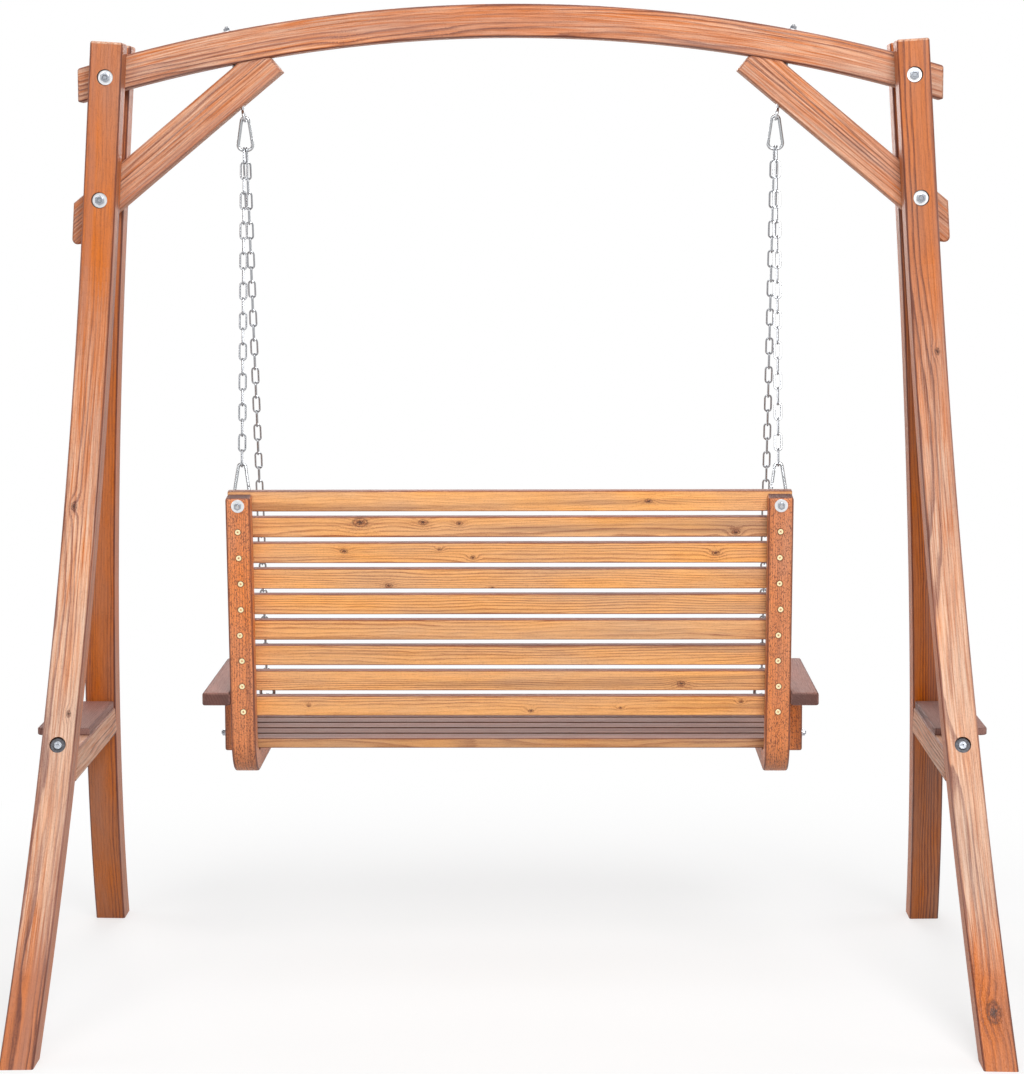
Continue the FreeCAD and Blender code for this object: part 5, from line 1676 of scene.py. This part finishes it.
class SWING_OT_hooks(bpy.types.Operator):
    """Build the six spring hooks and their gates"""
    bl_idname = "swing.hooks"
    bl_label = "Spring hooks"

    def pear(self):
        """Corner centres, gate line and its ends of a hook in its own X and Z plane."""
        hang = sizes().hang
        rise = hang.hook_length - hang.hook_wire
        low = Vector((hang.hook_flat / 2, hang.hook_wide_radius))
        high = Vector((0, rise - hang.hook_narrow_radius))
        between = high - low
        lean = math.atan2(-between.x, between.y)
        lean += math.asin((hang.hook_wide_radius - hang.hook_narrow_radius) / between.length)
        normal = Vector((math.cos(lean), math.sin(lean)))
        return {"low": low, "high": high, "lean": lean, "start": low + normal * hang.hook_wide_radius,
                "end": high + normal * hang.hook_narrow_radius,
                "up": Vector((-math.sin(lean), math.cos(lean)))}

    def wire(self, pear):
        """Round wire from the gate's hinge round the wide end, up the spine and over to the nose."""
        hang = sizes().hang
        lean = pear["lean"]
        quarter = math.pi / 2
        stub = pear["start"] + pear["up"] * hang.hook_stub
        nose = pear["end"] - pear["up"] * hang.hook_nose
        low, high = pear["low"], pear["high"]
        path = [tuple(stub)]
        path += arc(low, hang.hook_wide_radius, lean, -quarter - lean, 10)
        path += arc((-low.x, low.y), hang.hook_wide_radius, -quarter, -quarter - lean, 10)
        path += arc(high, hang.hook_narrow_radius, math.pi - lean, -math.pi + 2 * lean, 16)
        path.append(tuple(nose))
        form = Form()
        form.add(*tube(path, hang.hook_wire / 2 - SLACK, False, 18))
        pin = hang.gate_pin_wide
        self.tongue(form, stub, pear, hang.gate_pin_place - hang.hook_stub + hang.hook_tongue)
        self.tongue(form, nose - pear["up"] * (hang.hook_stub - pin / 5), pear, hang.hook_stub)
        centre = pear["start"] + pear["up"] * hang.gate_pin_place
        half = hang.gate_wide / 2 + RIVET_PROUD
        upper = [(pin / 2, half), (pin * RIVET_FOOT, half), (pin * RIVET_TOP, half + RIVET_HEAD)]
        lower = [(radius, -height) for radius, height in reversed(upper)]
        form.add(*turned(lower + upper, 16), facing((centre.x, 0, centre.y), (0, 1, 0)))
        return form.mesh("hook")

    def tongue(self, form, foot, pear, long):
        """A flat tongue inside a slot of the gate."""
        hang = sizes().hang
        thick = hang.hook_tongue / 2
        aside = Vector((pear["up"].y, -pear["up"].x)) * hang.hook_wire * TONGUE_SHARE
        tip = foot + pear["up"] * long
        corners = (tip - aside, tip + aside, foot + aside, foot - aside)
        form.add(*lofted([[(corner.x, y, corner.y) for corner in corners] for y in (-thick, thick)]))

    def gate(self, pear):
        """A round bar with a slot at each end, on the gate line."""
        hang = sizes().hang
        first = hang.gate_pin_place - hang.gate_heel
        last = (pear["end"] - pear["start"]).length - hang.hook_nose - NOSE_PLAY
        radius = hang.gate_wide / 2
        soft = radius * GATE_SOFT
        bar, slots = Form(), Form()
        bar.add(*turned([(radius - soft, first), (radius, first + soft), (radius, last - soft / 2),
                         (radius - soft / 2, last)]))
        half = hang.gate_slot / 2
        corners = ((-SLOT_REACH, -half), (SLOT_REACH, -half), (SLOT_REACH, half), (-SLOT_REACH, half))
        heel = (first - SLOT_PAST, hang.gate_pin_place + HEEL_SLOT)
        tip = (last - TIP_SLOT, last + SLOT_PAST)
        for span in (heel, tip):
            slots.add(*lofted([[(x, y, z) for x, y in corners] for z in span]))
        mesh = carved(bar.mesh("gate"), slots.mesh("gate_slots"))
        up = Vector((pear["up"].x, 0, pear["up"].y))
        mesh.transform(facing((pear["start"].x, 0, pear["start"].y), up))
        return mesh

    def places(self):
        """Placements of all six hooks, with the gate towards the middle of the bench."""
        hang = sizes().hang
        made = {}
        for name, side in SIDES.items():
            inwards = Matrix.Rotation(math.pi if side > 0 else 0, 4, "Z")
            low = hang_pivot(side) - Vector((0, 0, hang.hook_length - hang.hook_wire))
            made["hanger", name] = Matrix.Translation(low) @ inwards
            for end_name, end in ENDS.items():
                _, bottom, direction = chain_line(side, end)
                made[end_name, name] = Matrix.Translation(bottom) @ upright(direction) @ inwards
        return made

    def execute(self, context):
        pear = self.pear()
        wire = self.wire(pear)
        gate = self.gate(pear)
        for (group, name), place in self.places().items():
            for mesh, kind in ((wire, "hook"), (gate, "gate")):
                copy = mesh.copy()
                copy.transform(place)
                piece("%s_%s_steel_%s" % (group, kind, name), copy, metal("Hook steel"),
                      ["%s_%s_%s" % (group, kind, name)])
        return {"FINISHED"}


def odd(count):
    """The nearest odd whole number, so that a chain's end links lie in the same plane."""
    return 2 * round((count - 1) / 2) + 1


class SWING_OT_chains(bpy.types.Operator):
    """Build the four chains, link by link"""
    bl_idname = "swing.chains"
    bl_label = "Chains"

    def execute(self, context):
        hang = sizes().hang
        for side_name, side in SIDES.items():
            for end_name, end in ENDS.items():
                top, bottom, direction = chain_line(side, end)
                low_wire = bottom + direction * (hang.hook_length - hang.hook_wire)
                span = (top - low_wire).length
                top_lap = hang.hook_wire / 2 + hang.hang_gap / 2
                lap = hang.hook_wire / 2 + hang.seat_gap / 2
                count = odd((span + top_lap + lap) / hang.link_pitch)
                inner = (span + top_lap + lap) / count
                form = Form()
                link = self.link(inner)
                for index in range(count):
                    centre = top - direction * (inner / 2 - top_lap + inner * index)
                    quarter = Matrix.Rotation(math.pi / 2 if index % 2 == 0 else 0, 4, "Z")
                    form.add(*link, Matrix.Translation(centre) @ upright(direction) @ quarter)
                finish_metal(form, "chain_links_%s_%s" % (end_name, side_name), "Chain steel",
                             "chain_%s_%s" % (end_name, side_name))
        return {"FINISHED"}

    def link(self, inner):
        """Welded link: two straight sides and two round ends."""
        hang = sizes().hang
        radius = (hang.link_inner_width + hang.link_wire) / 2
        straight = (inner + hang.link_wire) / 2 - radius
        path = arc((0, straight), radius, 0, math.pi, 10) + arc((0, -straight), radius, math.pi, math.pi, 10)
        return tube(path, hang.link_wire / 2 - SLACK, True, 10)


# Strength of the world on matt surfaces, and in mirrors: the backdrop, near the horizon, and elsewhere
AMBIENT = 0.32
STUDIO_BACKDROP = 1.0
STUDIO_HORIZON = 0.85
STUDIO_DARK = 0.05
# Where the backdrop fades towards the rear and the horizon fades in height, in parts of a direction
BACKDROP_FADE = (-0.1, 0.5)
HORIZON_FADE = (0.12, 0.34)
# Floor: half its width, where its shadow starts to fade into white and ends, and the white in the shadow
FLOOR_REACH = 30.0
SHADOW_START = 0.9
SHADOW_END = 2.3
SHADOW_WHITE = 0.6
# Lamps: place, width and power
LAMPS = {
    "Key": ((-1.2, 5.2, 4.4), 2.6, 285),
    "Second key": ((2.4, 5.2, 4.2), 2.2, 70),
    "Front fill": ((0.6, -5.5, 3.2), 4.0, 160),
    "Left fill": ((-5.5, -0.6, 2.4), 3.0, 45),
    "Right fill": ((5.5, -0.6, 2.4), 3.0, 45),
    "Top": ((0.0, 1.5, 5.5), 3.0, 40),
}
LAMP_AIM = (0, 0, 1.0)
# The photograph's view: from behind the bench, a little to its left and from above
CAMERA_PLACE = (-0.0996, 6.0, 1.6107)
CAMERA_AIM = (0.0162, -0.9935, -0.1128)
CAMERA_ROLL = -0.003
CAMERA_LENS = 99.32
CAMERA_SENSOR = 36.0
CAMERA_END = 100.0


class SWING_OT_stage(bpy.types.Operator):
    """Build the floor, lights, world and camera"""
    bl_idname = "swing.stage"
    bl_label = "Stage"

    def execute(self, context):
        self.floor()
        self.world()
        for name, (place, size, power) in LAMPS.items():
            self.lamp(name, place, size, power)
        self.camera()
        bpy.context.scene.view_settings.view_transform = "Standard"
        return {"FINISHED"}

    def rays(self, tree):
        """Whether a ray comes from the camera, and whether it comes from a mirror or glass."""
        light_path = put(tree, "ShaderNodeLightPath").outputs
        mirrored = maths(tree, "MAXIMUM", light_path["Is Glossy Ray"], light_path["Is Transmission Ray"])
        return light_path["Is Camera Ray"], mirrored

    def floor(self):
        """White all round to the camera and in mirrors, with the object's shadow; dimmer to other rays."""
        finishes = sizes().finishes
        reach = FLOOR_REACH
        corners = [(-reach, -reach, 0), (reach, -reach, 0), (reach, reach, 0), (-reach, reach, 0)]
        form = Form()
        form.add(corners, [[0, 1, 2, 3]])
        mesh = form.mesh("studio_floor")
        material, tree, shader = new_material("Studio floor")
        seen = maths(tree, "MAXIMUM", *self.rays(tree))
        tree.links.new(mixed(tree, seen, opaque(finishes.floor_dim), opaque(finishes.floor)),
                       shader.inputs["Base Color"])
        shader.inputs["Roughness"].default_value = FLOOR_ROUGH
        shader.inputs["Specular IOR Level"].default_value = FLOOR_GLOSS
        white = put(tree, "ShaderNodeEmission", None, {"Color": WHITE, "Strength": 1.0})
        away = put(tree, "ShaderNodeVectorMath", {"operation": "LENGTH"},
                   {0: put(tree, "ShaderNodeTexCoord").outputs["Object"]}).outputs["Value"]
        share = maths(tree, "MULTIPLY", seen, mapped(tree, away, SHADOW_START, SHADOW_END, SHADOW_WHITE, 1.0))
        both = put(tree, "ShaderNodeMixShader", None, {0: share, 1: shader.outputs[0], 2: white.outputs[0]})
        tree.links.new(both.outputs[0], tree.nodes["Material Output"].inputs["Surface"])
        mesh.materials.append(material)
        floor = bpy.data.objects.new("studio_floor", mesh)
        bpy.context.scene.collection.objects.link(floor)

    def world(self):
        """White to the camera; mirrors see a backdrop, a bright horizon and a dark studio."""
        world = bpy.data.worlds.new("Studio")
        world.use_nodes = True
        tree = world.node_tree
        seen, mirrored = self.rays(tree)
        way = put(tree, "ShaderNodeSeparateXYZ", None,
                  {0: put(tree, "ShaderNodeTexCoord").outputs["Generated"]}).outputs
        backdrop = mapped(tree, way["Y"], *BACKDROP_FADE, STUDIO_BACKDROP, STUDIO_DARK)
        height = maths(tree, "ABSOLUTE", way["Z"])
        level = mapped(tree, height, *HORIZON_FADE, STUDIO_HORIZON, STUDIO_DARK)
        reflected = maths(tree, "MAXIMUM", backdrop, level)
        ambient = mapped(tree, mirrored, 0.0, 1.0, AMBIENT, reflected, False)
        ground = tree.nodes["Background"]
        ground.inputs["Color"].default_value = WHITE
        tree.links.new(mapped(tree, seen, 0.0, 1.0, ambient, 1.0, False), ground.inputs["Strength"])
        bpy.context.scene.world = world

    def lamp(self, name, place, size, power):
        """A round soft lamp that looks at the object's middle."""
        data = bpy.data.lights.new(name, "AREA")
        data.shape = "DISK"
        data.size = size
        data.energy = power
        lamp = bpy.data.objects.new(name, data)
        lamp.location = place
        aim = Vector(LAMP_AIM) - Vector(place)
        lamp.rotation_euler = aim.to_track_quat("-Z", "Y").to_euler()
        bpy.context.scene.collection.objects.link(lamp)

    def camera(self):
        """The photograph's camera."""
        data = bpy.data.cameras.new("Camera")
        data.sensor_width = CAMERA_SENSOR
        data.lens = CAMERA_LENS
        data.clip_end = CAMERA_END
        camera = bpy.data.objects.new("Camera", data)
        camera.location = CAMERA_PLACE
        aim = Vector(CAMERA_AIM).to_track_quat("-Z", "Y")
        camera.rotation_euler = (aim @ Quaternion((0, 0, 1), CAMERA_ROLL)).to_euler()
        bpy.context.scene.collection.objects.link(camera)
        bpy.context.scene.camera = camera


OPERATORS = (SWING_OT_beam, SWING_OT_legs, SWING_OT_braces, SWING_OT_rails, SWING_OT_side_frames,
             SWING_OT_slats, SWING_OT_arms, SWING_OT_stand_fasteners, SWING_OT_eye_bolts, SWING_OT_screws,
             SWING_OT_hooks, SWING_OT_chains, SWING_OT_stage)


class SWING_PT_panel(bpy.types.Panel):
    """List of the pieces in the sidebar."""
    bl_idname = "SWING_PT_panel"
    bl_label = "Swing bench"
    bl_space_type = "VIEW_3D"
    bl_region_type = "UI"
    bl_category = "Swing bench"

    def draw(self, context):
        for operator in OPERATORS:
            self.layout.operator(operator.bl_idname)


GROUPS = {"swing_stand": SwingStandSizes, "swing_bench": SwingBenchSizes, "swing_hang": SwingHangSizes,
          "swing_finishes": SwingFinishes}


def register():
    for group in GROUPS.values():
        bpy.utils.register_class(group)
    for name, group in GROUPS.items():
        setattr(bpy.types.Scene, name, bpy.props.PointerProperty(type=group))
    for made in (*OPERATORS, SWING_PT_panel):
        bpy.utils.register_class(made)


def unregister():
    for made in (SWING_PT_panel, *reversed(OPERATORS)):
        bpy.utils.unregister_class(made)
    for name in GROUPS:
        delattr(bpy.types.Scene, name)
    for group in reversed(GROUPS.values()):
        bpy.utils.unregister_class(group)


def main():
    register()
    bpy.ops.swing.beam()
    bpy.ops.swing.legs()
    bpy.ops.swing.braces()
    bpy.ops.swing.rails()
    bpy.ops.swing.side_frames()
    bpy.ops.swing.slats()
    bpy.ops.swing.arms()
    bpy.ops.swing.stand_fasteners()
    bpy.ops.swing.eye_bolts()
    bpy.ops.swing.screws()
    bpy.ops.swing.hooks()
    bpy.ops.swing.chains()
    bpy.ops.swing.stage()


if __name__ == "__main__":
    main()
